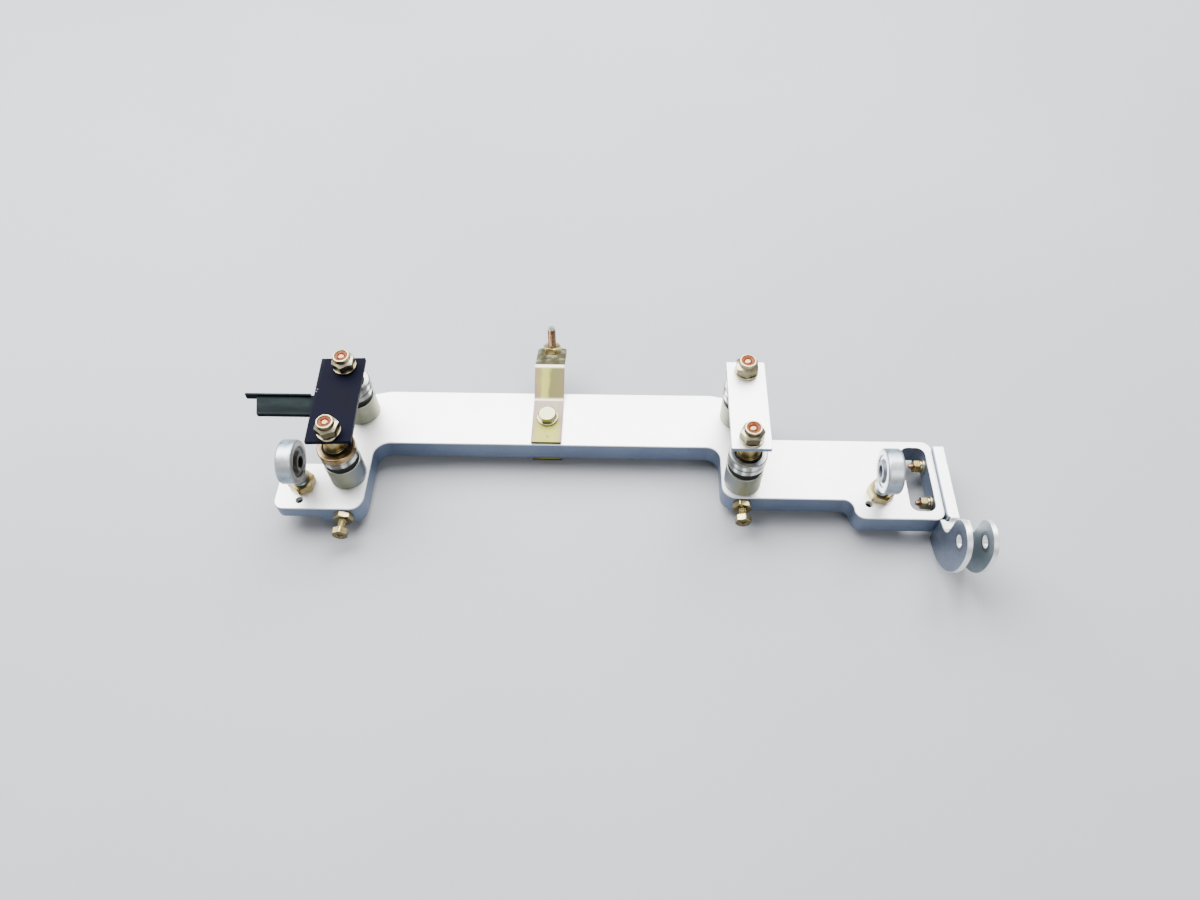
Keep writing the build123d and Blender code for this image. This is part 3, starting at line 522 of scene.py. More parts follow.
FINISHES = {
    "machined_aluminium": machined_plate(),
    "standoff_grey": standoff_grey(),
    "bearing_steel": turned_steel("bearing_steel"),
    "straw_steel": turned_steel("straw_steel", straw=True),
    "black_seal": rubbery(
        "black_rubber", 500, 0.5, (0.0015, 0.0015, 0.0015), (0.004, 0.0038, 0.0035), 0.15, 0.55
    ),
    # In these platings the shade and level colours are painted shade
    "gold_plating": plated(
        "gold_plating",
        (0.31, 0.23, 0.085),
        (0.45, 0.37, 0.18),
        tint=(0.54, 0.47, 0.28),
        level=(0.07, 0.05, 0.017),
    ),
    "head_plating": plated("head_plating", (0.30, 0.30, 0.17), (0.37, 0.37, 0.23)),
    "screw_plating": plated(
        "screw_plating",
        (0.53, 0.42, 0.17),
        (0.68, 0.57, 0.28),
        tint=(0.72, 0.63, 0.36),
        shade=(0.040, 0.030, 0.012),
    ),
    "washer_plating": plated(
        "washer_plating", (0.40, 0.35, 0.21), (0.52, 0.47, 0.31), tint=(0.60, 0.56, 0.43)
    ),
    "lock_nut_plating": plated(
        "lock_nut_plating",
        (0.36, 0.31, 0.17),
        (0.54, 0.48, 0.31),
        tint=(0.62, 0.58, 0.45),
        shade=(0.030, 0.025, 0.013),
    ),
    "bolt_plating": plated("bolt_plating", (0.20, 0.12, 0.06), (0.34, 0.22, 0.13), 500),
    "reddish_plating": plated("reddish_plating", (0.26, 0.12, 0.055), (0.42, 0.27, 0.15), 400),
    "stud_plating": plated("stud_plating", (0.19, 0.10, 0.055), (0.31, 0.21, 0.125), 400, pale_tip=True),
    # A brighter copy of the gold plating as painted light; its level faces take painted shade
    "stud_nut_lit_plating": plated(
        "stud_nut_lit_plating", (0.66, 0.54, 0.25), (0.80, 0.70, 0.38), level=(0.09, 0.07, 0.03)
    ),
    "black_paint": black_paint(),
    "yellow_chromate": yellow_chromate(),
    "red_insert": rubbery("red_insert", 600, 0.6, (0.15, 0.030, 0.008), (0.29, 0.070, 0.020), 0.2, 0.5),
    "zinc_steel": zinc_steel(),
    # Steel of the balls and the left race, darkened by painted shade
    "dark_steel": shaded_steel("dark_steel", (0.008, 0.008, 0.009), (0.040, 0.036, 0.030)),
    "blue_steel": shaded_steel("blue_steel", (0.10, 0.12, 0.15), (0.19, 0.21, 0.245)),
    "bare_aluminium": bare_aluminium(),
}

for part in frame["record"]["subparts"]:
    node = frame["nodes"][part["node"]]
    node.data.materials.clear()
    node.data.materials.append(FINISHES[part["material_slot"]])


# Shapes: every piece is a stack of rings, joined one to the next

ROUND = [TURN * index / 72 for index in range(72)]
THREAD_ROUND = [TURN * index / 36 for index in range(36)]
FACET_DEGREES = (-28, -24, -18, -12, -6, 0, 6, 12, 18, 24, 28)
STEPS_PER_PITCH = 8
STEPS_PER_CORNER = 3
EDGE = 0.12 * MM
SHARP = radians(32)


def ring(angles, radius, height):
    """Ring of points about Z; radius and height are numbers or functions of an index."""
    points = []
    for index, angle in enumerate(angles):
        r = radius(index) if callable(radius) else radius
        z = height(index) if callable(height) else height
        points.append(Vector((r * cos(angle), r * sin(angle), z)))
    return points


def softened(outline):
    """Round the corners of an outline of (radius, height, reach) points; reach may be left out."""
    made = []
    for index, entry in enumerate(outline):
        corner = Vector(entry[:2])
        if len(entry) == 2:
            made.append(corner)
            continue
        before = Vector(outline[index - 1][:2]) - corner
        after = Vector(outline[(index + 1) % len(outline)][:2]) - corner
        start = corner + before.normalized() * entry[2]
        end = corner + after.normalized() * entry[2]
        for step in range(STEPS_PER_CORNER + 1):
            share = step / STEPS_PER_CORNER
            made.append(start.lerp(corner, share).lerp(corner.lerp(end, share), share))
    return made


def arc(radius, half_angle, steps, centre=0.0):
    """Outline points of an arc from its upper to its lower end."""
    angles = [half_angle * (1 - 2 * step / steps) for step in range(steps + 1)]
    return [(centre + radius * cos(angle), radius * sin(angle)) for angle in angles]


class Form:
    """Points and faces of one piece while its shapes are added."""

    def __init__(self):
        self.points = []
        self.faces = []

    def loft(self, rings, place, closed):
        """Join rings of equally many points; an open stack is capped, a closed one joins its ends."""
        start = len(self.points)
        count = len(rings[0])
        for points in rings:
            self.points.extend(place @ point for point in points)
        pairs = [(level, (level + 1) % len(rings)) for level in range(len(rings))]
        if not closed:
            pairs.pop()
            self.faces.append([start + index for index in reversed(range(count))])
            self.faces.append([start + (len(rings) - 1) * count + index for index in range(count)])
        for lower, upper in pairs:
            below, above = start + lower * count, start + upper * count
            for index in range(count):
                following = (index + 1) % count
                self.faces.append([below + index, below + following, above + following, above + index])

    def turned(self, outline, place, closed=True):
        """Add a turned shape from its outline."""
        self.loft([ring(ROUND, r, z) for r, z in softened(outline)], place, closed)

    def mesh(self, name):
        mesh = bpy.data.meshes.new(name)
        mesh.from_pydata(self.points, [], self.faces)
        tidy = bmesh.new()
        tidy.from_mesh(mesh)
        bmesh.ops.recalc_face_normals(tidy, faces=tidy.faces)
        tidy.to_mesh(mesh)
        tidy.free()
        mesh.shade_smooth()
        mesh.set_sharp_from_angle(angle=SHARP)
        return mesh


def at(x, y, z=0.0):
    return Matrix.Translation((x, y, z))


def looking(direction, origin):
    """Place whose Z points along a direction and whose X is level, as in the part's sketches."""
    z = Vector(direction).normalized()
    x = Vector((1, 0, 0)) if abs(z.x) < 0.5 else Vector((0, 1, 0))
    x = (x - z * x.dot(z)).normalized()
    return Matrix.Translation(origin) @ Matrix((x, z.cross(x), z)).transposed().to_4x4()


def hexagonal(flats, turn, start, end, face_share=0.94, low=True, high=True):
    """Rings of a hexagonal bar with chamfered ends, and the angles of their points."""
    chamfer = radians(30)
    inner = flats / 2
    face = inner * face_share
    angles = [radians(turn + 30 + 60 * side + step) for side in range(6) for step in FACET_DEGREES]
    radii = [inner / cos(radians(step)) for side in range(6) for step in FACET_DEGREES]
    falls = [(radius - face) * tan(chamfer) for radius in radii]
    rings = []
    if low:
        rings.append(ring(angles, face, start))
    rings.append(ring(angles, radii.__getitem__, lambda index: start + falls[index] * low))
    rings.append(ring(angles, radii.__getitem__, lambda index: end - falls[index] * high))
    if high:
        rings.append(ring(angles, face, end))
    return rings, angles


def nut(form, place, flats, height, bore, turn):
    """Hexagonal nut from its seat upward, chamfered on both sides and countersunk at its bore."""
    rings, angles = hexagonal(flats, turn, 0, height)
    sink = 0.35 * MM
    foot = [ring(angles, bore, sink), ring(angles, bore + sink, 0)]
    top = [ring(angles, bore + sink, height), ring(angles, bore, height - sink)]
    form.loft([*foot, *rings, *top], place, closed=True)


def threaded(form, place, radius, pitch, start, end, tip=0.3 * MM):
    """Helical thread between two heights, with a chamfered tip past its end."""
    depth = 0.38 * pitch
    root, flank = 0.15, 0.7
    levels = int((end - start) / pitch * STEPS_PER_PITCH)
    rings = []
    for level in range(levels + 1):
        z = start + (end - start) * level / levels
        fade = min(1.0, (z - start) / pitch, (end - z) / pitch)
        radii = []
        for index in range(len(THREAD_ROUND)):
            wave = 1 - abs(2 * ((z / pitch - index / len(THREAD_ROUND)) % 1) - 1)
            crest = min(1.0, max(0.0, (wave - root) / flank))
            radii.append(radius - depth * (1 - crest * fade))
        rings.append(ring(THREAD_ROUND, radii.__getitem__, z))
    rings.append(ring(THREAD_ROUND, radius - depth - tip / 3, end + tip))
    form.loft(rings, place, closed=False)


def washer(form, place, radius, bore, thickness, reach=0.4 * MM):
    """Flat washer with a rolled rim."""
    outline = [(bore, 0, EDGE), (radius, 0, reach), (radius, thickness, reach), (bore, thickness, EDGE)]
    form.turned(outline, place)


def added(name, data):
    """New object in the scene."""
    made = bpy.data.objects.new(name, data)
    bpy.context.scene.collection.objects.link(made)
    return made


def show(form_or_mesh, name, slot, nodes, body="frame", finish=None):
    """Put a piece in the scene in place of its CAD nodes."""
    mesh = form_or_mesh.mesh(name) if isinstance(form_or_mesh, Form) else form_or_mesh
    mesh.materials.clear()
    mesh.materials.append(FINISHES[finish or slot])
    piece = added(name, mesh)
    even = piece.modifiers.new("even_shading", "WEIGHTED_NORMAL")
    even.keep_sharp = True
    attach(piece, body)
    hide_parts(*nodes)


def show_turned(node, ending, slot, outline, place, body="frame", finish=None):
    """Put one turned shape in the scene in place of its CAD node."""
    form = Form()
    form.turned(outline, place)
    show(form, f"{node}_{ending}", slot, [node], body, finish)


def worked(mesh, *steps):
    """Mesh with modifiers applied; a step is (kind, settings)."""
    shape = added("working_shape", mesh)
    for kind, settings in steps:
        modifier = shape.modifiers.new(kind, kind)
        for key, value in settings.items():
            setattr(modifier, key, value)
    bpy.context.view_layer.update()
    made = bpy.data.meshes.new_from_object(shape.evaluated_get(bpy.context.evaluated_depsgraph_get()))
    bpy.data.objects.remove(shape)
    return made


def carved(mesh, cutters):
    """Mesh with other meshes cut out of it, one after the other."""
    for cutter in cutters:
        tool = added("cutter", cutter)
        mesh = worked(mesh, ("BOOLEAN", {"object": tool, "operation": "DIFFERENCE", "solver": "EXACT"}))
        bpy.data.objects.remove(tool)
    mesh.set_sharp_from_angle(angle=SHARP)
    return mesh


def with_form(mesh, form):
    """Mesh with the shapes of a form added to it."""
    both = bmesh.new()
    both.from_mesh(mesh)
    both.from_mesh(form.mesh("added"))
    both.to_mesh(mesh)
    both.free()
    mesh.set_sharp_from_angle(angle=SHARP)
    return mesh


def cross_cutters(place, reach, width, depth, turn):
    """Two tapered wedges that cut a screwdriver cross below the place's own level."""
    cutters = []
    for quarter in (0, 90):
        rings = []
        for share, height in ((0.6, -depth), (1.05, 0.3 * MM)):
            x, y = reach / 2 * share, width / 2 * (0.6 + 0.4 * share)
            corners = ((x, y), (-x, y), (-x, -y), (x, -y))
            rings.append([Vector((*corner, height)) for corner in corners])
        cutter = Form()
        cutter.loft(rings, place @ Matrix.Rotation(radians(turn + quarter), 4, "Z"), closed=False)
        cutters.append(cutter.mesh("wedge"))
    return cutters


# Posts with their rollers


def standoff(side, x, y):
    node = f"{side}_standoff"
    low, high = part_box(node)
    radius = (high.x - low.x) / 2
    outline = [
        (HOLE_RADIUS, low.z, EDGE),
        (radius, low.z, EDGE),
        (radius, high.z, 0.55 * MM),
        (HOLE_RADIUS, high.z, EDGE),
    ]
    show_turned(node, "turned", "standoff_grey", outline, at(x, y))


def dust_ring(side, x, y):
    node = f"{side}_dust_ring"
    low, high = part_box(node)
    radius = (high.x - low.x) / 2
    land = 4.8 * MM
    shoulder = high.z - 0.3 * MM
    outline = [
        (HOLE_RADIUS, low.z, EDGE),
        (radius, low.z, 0.3 * MM),
        (radius - 0.35 * MM, (low.z + shoulder) / 2, 0.6 * MM),
        (radius, shoulder, 0.3 * MM),
        (land, shoulder),
        (land, high.z, EDGE),
        (HOLE_RADIUS, high.z, EDGE),
    ]
    show_turned(node, "moulded", "black_seal", outline, at(x, y))


def roller(side, x, y):
    """Grooved outer ring with a rounded rim and its ball race."""
    node = f"{side}_roller"
    low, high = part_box(node)
    radius = (high.x - low.x) / 2
    land = 8.2 * MM
    ball_circle = 6.84 * MM
    race = 2.035 * MM
    open_half = acos((land - ball_circle) / race)
    lip = 7.3 * MM
    lip_floor = 0.12 * MM
    outline = [
        (land, low.z + lip_floor),
        (lip, low.z + lip_floor),
        (lip, low.z, 0.05 * MM),
        (radius, low.z, 0.9 * MM),
        (radius, -0.65 * MM, 0.15 * MM),
        (radius - 0.55 * MM, 0, 0.2 * MM),
        (radius, 0.65 * MM, 0.15 * MM),
        (radius, high.z, 1.2 * MM),
        (lip, high.z, 0.05 * MM),
        (lip, high.z - lip_floor),
        (land, high.z - lip_floor),
    ]
    outline.extend(arc(race, open_half, 8, ball_circle))
    straw = "straw_steel" if side == "front_left" else None
    show_turned(node, "turned", "bearing_steel", outline, at(x, y), f"{side}_roller_set", straw)


def seals(side, x, y):
    """Two rubber rings with a shallow dish between their lips."""
    low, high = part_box(f"{side}_seals")
    outer = (high.x - low.x) / 2
    inner = 5.6 * MM
    thickness, dish = 0.7 * MM, 0.25 * MM
    form = Form()
    for way, top in ((1, high.z), (-1, low.z)):
        base, sunk = top - way * thickness, top - way * dish
        outline = [
            (inner, base),
            (inner, top, 0.2 * MM),
            (inner + 0.5 * MM, top, 0.2 * MM),
            (inner + 0.8 * MM, sunk, 0.15 * MM),
            (outer - 0.5 * MM, sunk, 0.15 * MM),
            (outer - 0.25 * MM, top, 0.15 * MM),
            (outer, top, EDGE),
            (outer, base),
        ]
        form.turned(outline, at(x, y))
    show(form, f"{side}_seal_rings", "black_seal", [f"{side}_seals"], f"{side}_roller_set")


def spacer(side, x, y):
    node = f"{side}_spacer"
    low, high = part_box(node)
    flange = (high.x - low.x) / 2
    body = 4.95 * MM
    flange_top = low.z + 1.4 * MM
    outline = [
        (NUT_BORE, low.z, EDGE),
        (flange, low.z, 0.2 * MM),
        (flange, flange_top, 0.45 * MM),
        (body, flange_top, 0.3 * MM),
        (body, high.z, 0.25 * MM),
        (NUT_BORE, high.z, EDGE),
    ]
    show_turned(node, "turned", "gold_plating", outline, at(x, y))


# Bolts, washers and lock nuts of the posts


def post_bolts():
    """Hexagon head below the plate, plain shank and a coned tip that ends inside the lock nut."""
    low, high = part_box("post_bolts")
    head_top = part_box("head_washers")[0].z
    shank = [
        (BOLT_RADIUS, head_top),
        (BOLT_RADIUS, high.z - 2.1 * MM),
        (1.75 * MM, high.z - 0.35 * MM),
        (1.45 * MM, high.z - 0.1 * MM),
        (0.9 * MM, high.z),
    ]
    rings, angles = hexagonal(LOCK_NUT_FLATS, 0, low.z, head_top, high=False)
    rings.extend(ring(angles, r, z) for r, z in shank)
    form = Form()
    for side in POSTS:
        form.loft(rings, at(*axis_of(f"{side}_standoff")), closed=False)
    show(form, "post_bolts_shaped", "gold_plating", ["post_bolts"], finish="bolt_plating")


def post_washers(node):
    low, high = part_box(node)
    radius = 6.35 * MM
    form = Form()
    for side in POSTS:
        washer(form, at(*axis_of(f"{side}_standoff"), low.z), radius, NUT_BORE, high.z - low.z, 0.5 * MM)
    show(form, f"{node}_rolled", "gold_plating", [node], finish="washer_plating")


def lock_nuts():
    """Hexagon with a cone up to a rolled collar, whose lip holds the insert."""
    low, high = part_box("lock_nuts")
    height = high.z - low.z
    collar = 4.5 * MM
    lip = 3.5 * MM
    pocket = 3.95 * MM
    pocket_floor = height - 2.7 * MM
    share = collar / (LOCK_NUT_FLATS / 2)
    sink = 0.35 * MM
    rim = softened(
        [
            (collar, LOCK_NUT_HEX),
            (collar, height, 0.75 * MM),
            (lip, height, 0.35 * MM),
            (lip, height - 0.5 * MM),
        ]
    )
    inside = [*rim[1:], (pocket, height - 0.5 * MM), (pocket, pocket_floor), (NUT_BORE, pocket_floor)]
    form = Form()
    for side in POSTS:
        turn = LOCK_NUT_TURN[side]
        upper, angles = hexagonal(LOCK_NUT_FLATS, turn, 0, LOCK_NUT_HEX, share)
        lower, angles = hexagonal(LOCK_NUT_FLATS, turn, 0, LOCK_NUT_HEX)
        foot = [ring(angles, NUT_BORE, sink), ring(angles, NUT_BORE + sink, 0)]
        top = [ring(angles, r, z) for r, z in inside]
        form.loft([*foot, *lower[:2], *upper[2:], *top], at(*axis_of(f"{side}_standoff"), low.z), closed=True)
    show(form, "lock_nuts_rolled", "gold_plating", ["lock_nuts"], finish="lock_nut_plating")


def nut_inserts():
    """Locking rings that slope down to the bolt tips."""
    low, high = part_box("nut_inserts")
    outer = 3.93 * MM
    inner = 3.3 * MM
    outline = [
        (outer, low.z),
        (outer, high.z - 0.15 * MM),
        (3.45 * MM, high.z - 0.15 * MM, 0.1 * MM),
        (inner, high.z, 0.1 * MM),
        (2.05 * MM, high.z - 0.40 * MM, 0.25 * MM),
        (1.9 * MM, high.z - 0.75 * MM),
        (inner, low.z),
    ]
    form = Form()
    for side in POSTS:
        form.turned(outline, at(*axis_of(f"{side}_standoff")))
    show(form, "nut_inserts_pressed", "red_insert", ["nut_inserts"])


# Hardware of the Z bracket


def stop_stud():
    """Threaded stud with its round head under the flange."""
    middle, direction = mount("stop_stud_end")
    place = looking(direction, middle - direction * STUD_MOUNT_HEIGHT)
    head = 4.0 * MM
    head_height = 2.4 * MM
    form = Form()
    form.turned(
        [
            (head - 0.6 * MM, -FLANGE_THICKNESS - head_height),
            (head, -FLANGE_THICKNESS - head_height + 0.3 * MM, 0.3 * MM),
            (head, -FLANGE_THICKNESS, EDGE),
            (STUD_RADIUS, -FLANGE_THICKNESS),
            (STUD_RADIUS, STUD_NUT_HEIGHT - 0.6 * MM),
        ],
        place,
        closed=False,
    )
    tip = 0.4 * MM
    threaded(form, place, STUD_RADIUS, COARSE_PITCH, STUD_NUT_HEIGHT - 1.2 * MM, STUD_LENGTH - tip, tip)
    show(form, "stop_stud_threaded", "gold_plating", ["stop_stud"], finish="stud_plating")
    form = Form()
    nut(form, place, STUD_NUT_FLATS, STUD_NUT_HEIGHT, STUD_RADIUS + 0.03 * MM, STUD_NUT_TURN)
    show(form, "stud_nut_chamfered", "gold_plating", ["stud_nut"], finish="stud_nut_lit_plating")


def bracket_bolt():
    """Bolt with its washer on the foot and its nut below the backing plate."""
    x, y = axis_of("bracket_bolt")
    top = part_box("bracket_bolt")[1].z
    seat = top - BRACKET_BOLT_HEAD
    nut_low, nut_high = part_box("backing_nut")
    form = Form()
    rings, angles = hexagonal(BRACKET_BOLT_FLATS, 0, seat, top, 0.95, low=False)
    dish = ring(angles, 3.4 * MM, top - 0.05 * MM)
    form.loft([*rings, dish], at(x, y), closed=False)
    form.turned([(STUD_RADIUS, nut_high.z), (STUD_RADIUS, seat)], at(x, y), closed=False)
    downward = at(x, y) @ Matrix.Rotation(pi, 4, "X")
    threaded(form, downward, STUD_RADIUS, COARSE_PITCH, -nut_high.z, -nut_low.z - 0.3 * MM)
    show(form, "bracket_bolt_shaped", "gold_plating", ["bracket_bolt"], finish="head_plating")
    washer_low, washer_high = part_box("bracket_washer")
    form = Form()
    radius = (washer_high.x - washer_low.x) / 2
    thickness = washer_high.z - washer_low.z
    washer(form, at(x, y, washer_low.z), radius, STUD_RADIUS + 0.1 * MM, thickness, 0.5 * MM)
    show(form, "bracket_washer_rolled", "gold_plating", ["bracket_washer"], finish="washer_plating")
    form = Form()
    nut(form, at(x, y, nut_low.z), BRACKET_BOLT_FLATS, nut_high.z - nut_low.z, STUD_RADIUS + 0.03 * MM, 0)
    show(form, "backing_nut_chamfered", "gold_plating", ["backing_nut"])


# Rod ends


def rod_end(side):
    """Forged eye that flows into its neck, on a threaded shank."""
    low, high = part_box(f"{side}_rod_end")
    race_low, race_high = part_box(f"{side}_race")
    centre = (race_low + race_high) / 2
    radius = high.z - centre.z
    half = (high.x - low.x) / 2
    bore = (race_high.z - race_low.z) / 2
    shank_top = PLATE_TOP + 6.0 * MM
    eye = Form()
    left_rim = [(bore, -half, 0.5 * MM), (radius, -half, 1.5 * MM)]
    right_rim = [(radius, half, 1.5 * MM), (bore, half, 0.5 * MM)]
    eye.turned(left_rim + right_rim, looking((1, 0, 0), centre))
    eye.turned(
        [
            (ROD_SHANK_RADIUS, shank_top - 0.6 * MM),
            (ROD_SHANK_RADIUS, shank_top),
            (ROD_NECK_RADIUS, shank_top + 1.0 * MM, 0.3 * MM),
            (ROD_NECK_RADIUS, centre.z - radius + 1.0 * MM, 1.0 * MM),
            (ROD_NECK_RADIUS + 0.6 * MM, centre.z - bore - 1.2 * MM),
        ],
        at(centre.x, centre.y),
        closed=False,
    )
    forged = worked(
        eye.mesh(f"{side}_eye"),
        ("REMESH", {"mode": "VOXEL", "voxel_size": 0.3 * MM}),
        ("SMOOTH", {"factor": 0.5, "iterations": 5}),
    )
    forged.shade_smooth()
    show(forged, f"{side}_rod_end_forged", "zinc_steel", [f"{side}_rod_end"])
    shank = Form()
    threaded(shank, at(centre.x, centre.y), ROD_SHANK_RADIUS, FINE_PITCH, low.z + 0.5 * MM, shank_top)
    show(shank, f"{side}_rod_end_thread", "zinc_steel", [f"{side}_rod_end"])


def race(side):
    node = f"{side}_race"
    low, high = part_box(node)
    centre = (low + high) / 2
    half = (high.x - low.x) / 2
    outer = (high.z - low.z) / 2
    bore = 7.35 * MM
    mouth_angle = asin(half / bore)
    outline = [(outer, -half, EDGE), (outer, half, EDGE)]
    outline.extend(arc(bore, mouth_angle, 12))
    # The left race is darkened by painted shade
    finish = "dark_steel" if side == "left" else "zinc_steel"
    show_turned(node, "ground", "dark_steel", outline, looking((1, 0, 0), centre), finish=finish)


def pivot_ball(side):
    node = f"{side}_pivot_ball"
    low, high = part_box(node)
    centre = (low + high) / 2
    half = (high.x - low.x) / 2
    radius = (high.z - low.z) / 2
    bore = 3.2 * MM
    face_angle = asin(half / radius)
    outline = [(bore, half, 0.3 * MM), *arc(radius, face_angle, 16), (bore, -half, 0.3 * MM)]
    # Both balls are darkened by painted shade, the left one most
    finish = "dark_steel" if side == "left" else "blue_steel"
    show_turned(node, "ground", "dark_steel", outline, looking((1, 0, 0), centre), f"{side}_ball", finish)


def rod_nut(side):
    low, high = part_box(f"{side}_rod_nut")
    form = Form()
    place = at(*axis_of(f"{side}_race"), low.z)
    nut(form, place, ROD_NUT_FLATS, high.z - low.z, ROD_SHANK_RADIUS + 0.03 * MM, ROD_NUT_TURN[side])
    show(form, f"{side}_rod_nut_chamfered", "gold_plating", [f"{side}_rod_nut"])


# Adjusting screws


def adjuster(side):
    """Threaded screw with a recessed hexagon head, and its jam nut against the plate."""
    low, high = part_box(f"{side}_adjusting_screw")
    nut_low, nut_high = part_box(f"{side}_adjuster_nut")
    x = (nut_low.x + nut_high.x) / 2
    z = (low.z + high.z) / 2
    place = looking((0, 1, 0), (x, low.y, z))
    turn = ADJUSTER_HEAD_TURN[side]
    head = Form()
    rings, angles = hexagonal(ADJUSTER_HEAD_FLATS, turn, 0, ADJUSTER_HEAD, 0.95, high=False)
    head.loft([*rings, ring(angles, ADJUSTER_RADIUS, ADJUSTER_HEAD)], place, closed=False)
    facing_front = looking((0, -1, 0), (x, low.y, z))
    screw = carved(head.mesh("head"), cross_cutters(facing_front, *ADJUSTER_RECESS, -turn))
    shaft = Form()
    reach = high.y - low.y
    run = nut_high.y - low.y + 4 * MM
    threaded(shaft, place, ADJUSTER_RADIUS, COARSE_PITCH, ADJUSTER_HEAD - 0.4 * MM, run)
    plain = 1.6 * MM
    plain_end = [(plain, run - 0.5 * MM), (plain, reach - 0.6 * MM), (plain - 0.5 * MM, reach)]
    shaft.turned(plain_end, place, closed=False)
    screw = with_form(screw, shaft)
    name = f"{side}_adjusting_screw"
    show(screw, f"{name}_threaded", "gold_plating", [name], f"{side}_adjuster", "screw_plating")
    form = Form()
    nut_place = looking((0, 1, 0), (x, nut_low.y, z))
    height = nut_high.y - nut_low.y
    nut(form, nut_place, ADJUSTER_NUT_FLATS, height, ADJUSTER_RADIUS + 0.05 * MM, ADJUSTER_NUT_TURN[side])
    name = f"{side}_adjuster_nut"
    show(form, f"{name}_chamfered", "gold_plating", [name], finish="screw_plating")


# Screws of the clevis


def clevis_hardware():
    """Countersunk screws through the rim of the slot, with washers, split washers and nuts."""
    screw_low, screw_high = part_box("clevis_screws")
    washer_low, washer_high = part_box("clevis_washers")
    nut_low, nut_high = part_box("clevis_nuts")
    washer_radius = (washer_high.z - washer_low.z) / 2
    z = (washer_low.z + washer_high.z) / 2
    head_radius = (screw_high.z - screw_low.z) / 2
    head_depth = head_radius - CLEVIS_SCREW_RADIUS
    washer_thickness = 1.3 * MM
    thread_start, thread_end = 9 * MM, screw_high.x - screw_low.x - 0.3 * MM

    def inward(x, y):
        return looking((-1, 0, 0), (x, y, z))

    screws, threads, washers, nuts = Form(), Form(), Form(), Form()
    recesses = []
    for y in (washer_low.y + washer_radius, washer_high.y - washer_radius):
        outline = [
            (head_radius, 0),
            (head_radius, 0.15 * MM),
            (CLEVIS_SCREW_RADIUS, head_depth),
            (CLEVIS_SCREW_RADIUS, thread_start + 1 * MM),
        ]
        place = inward(screw_high.x, y)
        screws.turned(outline, place, closed=False)
        threaded(threads, place, CLEVIS_SCREW_RADIUS, SMALL_PITCH, thread_start, thread_end)
        outward = looking((1, 0, 0), (screw_high.x, y, z))
        recesses.extend(cross_cutters(outward, *CLEVIS_RECESS, 0))
        seat = inward(washer_high.x, y)
        washer(washers, seat, washer_radius, CLEVIS_SCREW_RADIUS + EDGE, washer_thickness)
        split_washer(washers, inward(washer_high.x - washer_thickness, y))
        height = nut_high.x - nut_low.x
        nut(nuts, inward(nut_high.x, y), CLEVIS_NUT_FLATS, height, CLEVIS_SCREW_RADIUS + 0.05 * MM, 0)
    mesh = with_form(carved(screws.mesh("screws"), recesses), threads)
    show(mesh, "clevis_screws_threaded", "gold_plating", ["clevis_screws"], finish="reddish_plating")
    show(washers, "clevis_washers_rolled", "gold_plating", ["clevis_washers"], finish="washer_plating")
    show(nuts, "clevis_nuts_chamfered", "gold_plating", ["clevis_nuts"])


def split_washer(form, place):
    """Spring washer: a square wire bent to a ring with a small slanted gap."""
    inner, outer, thickness, lift = 1.6 * MM, 3.45 * MM, 1.0 * MM, 0.18 * MM
    gap_edge, sweep, steps = radians(6), radians(348), 48
    sections = []
    for step in range(steps + 1):
        angle = gap_edge + sweep * step / steps
        rise = lift * step / steps
        top = rise + thickness
        wire = softened([(inner, rise, EDGE), (outer, rise, EDGE), (outer, top, EDGE), (inner, top, EDGE)])
        sections.append([Vector((r * cos(angle), r * sin(angle), z)) for r, z in wire])
    form.loft(sections, place, closed=False)


for side in POSTS:
    x, y = axis_of(f"{side}_standoff")
    for make in (standoff, dust_ring, roller, seals, spacer):
        make(side, x, y)
post_bolts()
post_washers("top_washers")
post_washers("head_washers")
lock_nuts()
nut_inserts()
stop_stud()
bracket_bolt()
for side in SIDES:
    rod_end(side)
    race(side)
    pivot_ball(side)
    rod_nut(side)
    adjuster(side)
clevis_hardware()


# Softened edges on the plates, brackets and clevis, which keep their CAD shape


def soften(node, width):
    """Join a node's loose corners, make its faces whole and bevel its edges."""
    piece = frame["nodes"][node]
    weld = piece.modifiers.new("joined_corners", "WELD")
    weld.merge_threshold = 0.002 * MM
    flat = piece.modifiers.new("whole_faces", "DECIMATE")
    flat.decimate_type = "DISSOLVE"
    flat.angle_limit = radians(0.5)
    bevel = piece.modifiers.new("soft_edges", "BEVEL")
    bevel.width = width
    bevel.segments = 2
    bevel.limit_method = "ANGLE"
    bevel.angle_limit = radians(35)
    even = piece.modifiers.new("even_shading", "WEIGHTED_NORMAL")
    even.weight = 100


for node in ("mount_plate", "backing_plate", "clevis"):
    soften(node, 0.15 * MM)
for node in ("roller_strap", "arm_bracket", "z_bracket"):
    soften(node, 0.2 * MM)


# Floor, light and camera


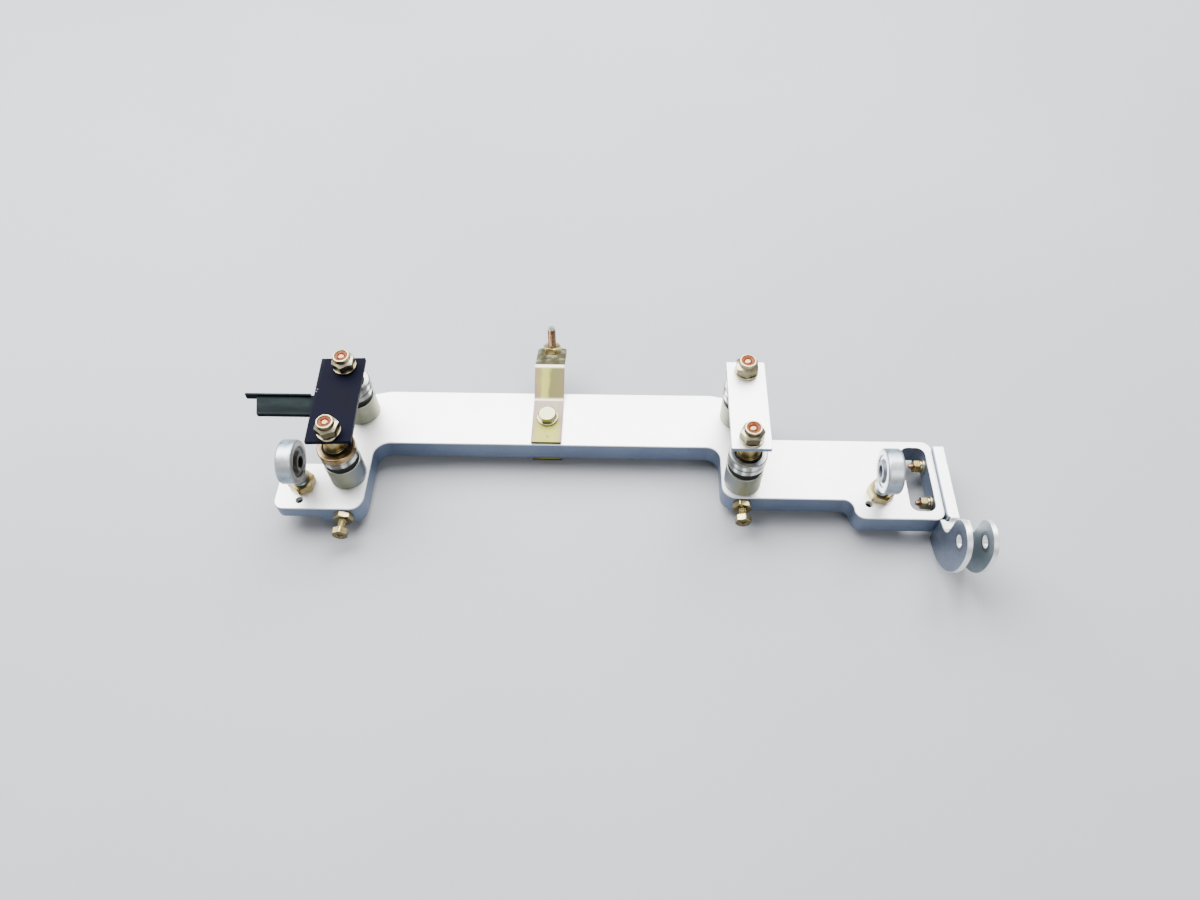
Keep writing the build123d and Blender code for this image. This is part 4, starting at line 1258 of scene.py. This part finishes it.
def camera():
    """Camera at the photograph's angle."""
    pitch, yaw, roll = radians(56.03), radians(-2.95), radians(-1.57)
    forward = Vector((sin(yaw) * cos(pitch), cos(yaw) * cos(pitch), -sin(pitch)))
    level_right = Vector((cos(yaw), -sin(yaw), 0))
    level_up = level_right.cross(forward)
    right = cos(roll) * level_right + sin(roll) * level_up
    up = cos(roll) * level_up - sin(roll) * level_right
    data = bpy.data.cameras.new("camera")
    data.sensor_width = 36.0
    data.lens = 26.19
    made = added("camera", data)
    turned = Matrix((right, up, -forward)).transposed().to_4x4()
    made.matrix_world = Matrix.Translation(Vector((43.84, -273.89, 378.86)) * MM) @ turned
    bpy.context.scene.camera = made


def floor():
    """Plain pale floor under the lowest point of the part."""
    half = 6.0
    mesh = bpy.data.meshes.new("floor")
    z = cad_low.z
    corners = [(-half, -half, z), (half, -half, z), (half, half, z), (-half, half, z)]
    mesh.from_pydata(corners, [], [(0, 1, 2, 3)])
    made = Finish("floor")
    cloud = made.noise(3, 3, 0.5)
    colour = made.tones(cloud, (0.38, 0.39, 0.41), (0.42, 0.43, 0.45), 0.3, 0.7)
    mesh.materials.append(made.finish(colour, 0.7, 0.0))
    surface = added("floor", mesh)


def soft_light(name, place, size, power, colour=(1, 1, 1)):
    """Large area light that looks at the origin."""
    data = bpy.data.lights.new(name, "AREA")
    data.shape = "RECTANGLE"
    data.size, data.size_y = size
    data.energy = power
    data.color = colour
    made = added(name, data)
    made.location = place
    made.rotation_euler = (-Vector(place)).to_track_quat("-Z", "Y").to_euler()


def lights():
    world = bpy.context.scene.world or bpy.data.worlds.new("world")
    bpy.context.scene.world = world
    world.use_nodes = True
    background = world.node_tree.nodes["Background"]
    background.inputs["Color"].default_value = (0.80, 0.84, 0.90, 1)
    background.inputs["Strength"].default_value = 0.40
    soft_light("key", (-0.20, 0.60, 1.0), (2.2, 1.1), 98)
    soft_light("fill", (0.5, -0.9, 0.9), (0.6, 0.6), 4, (0.95, 0.97, 1.0))


camera()
floor()
lights()
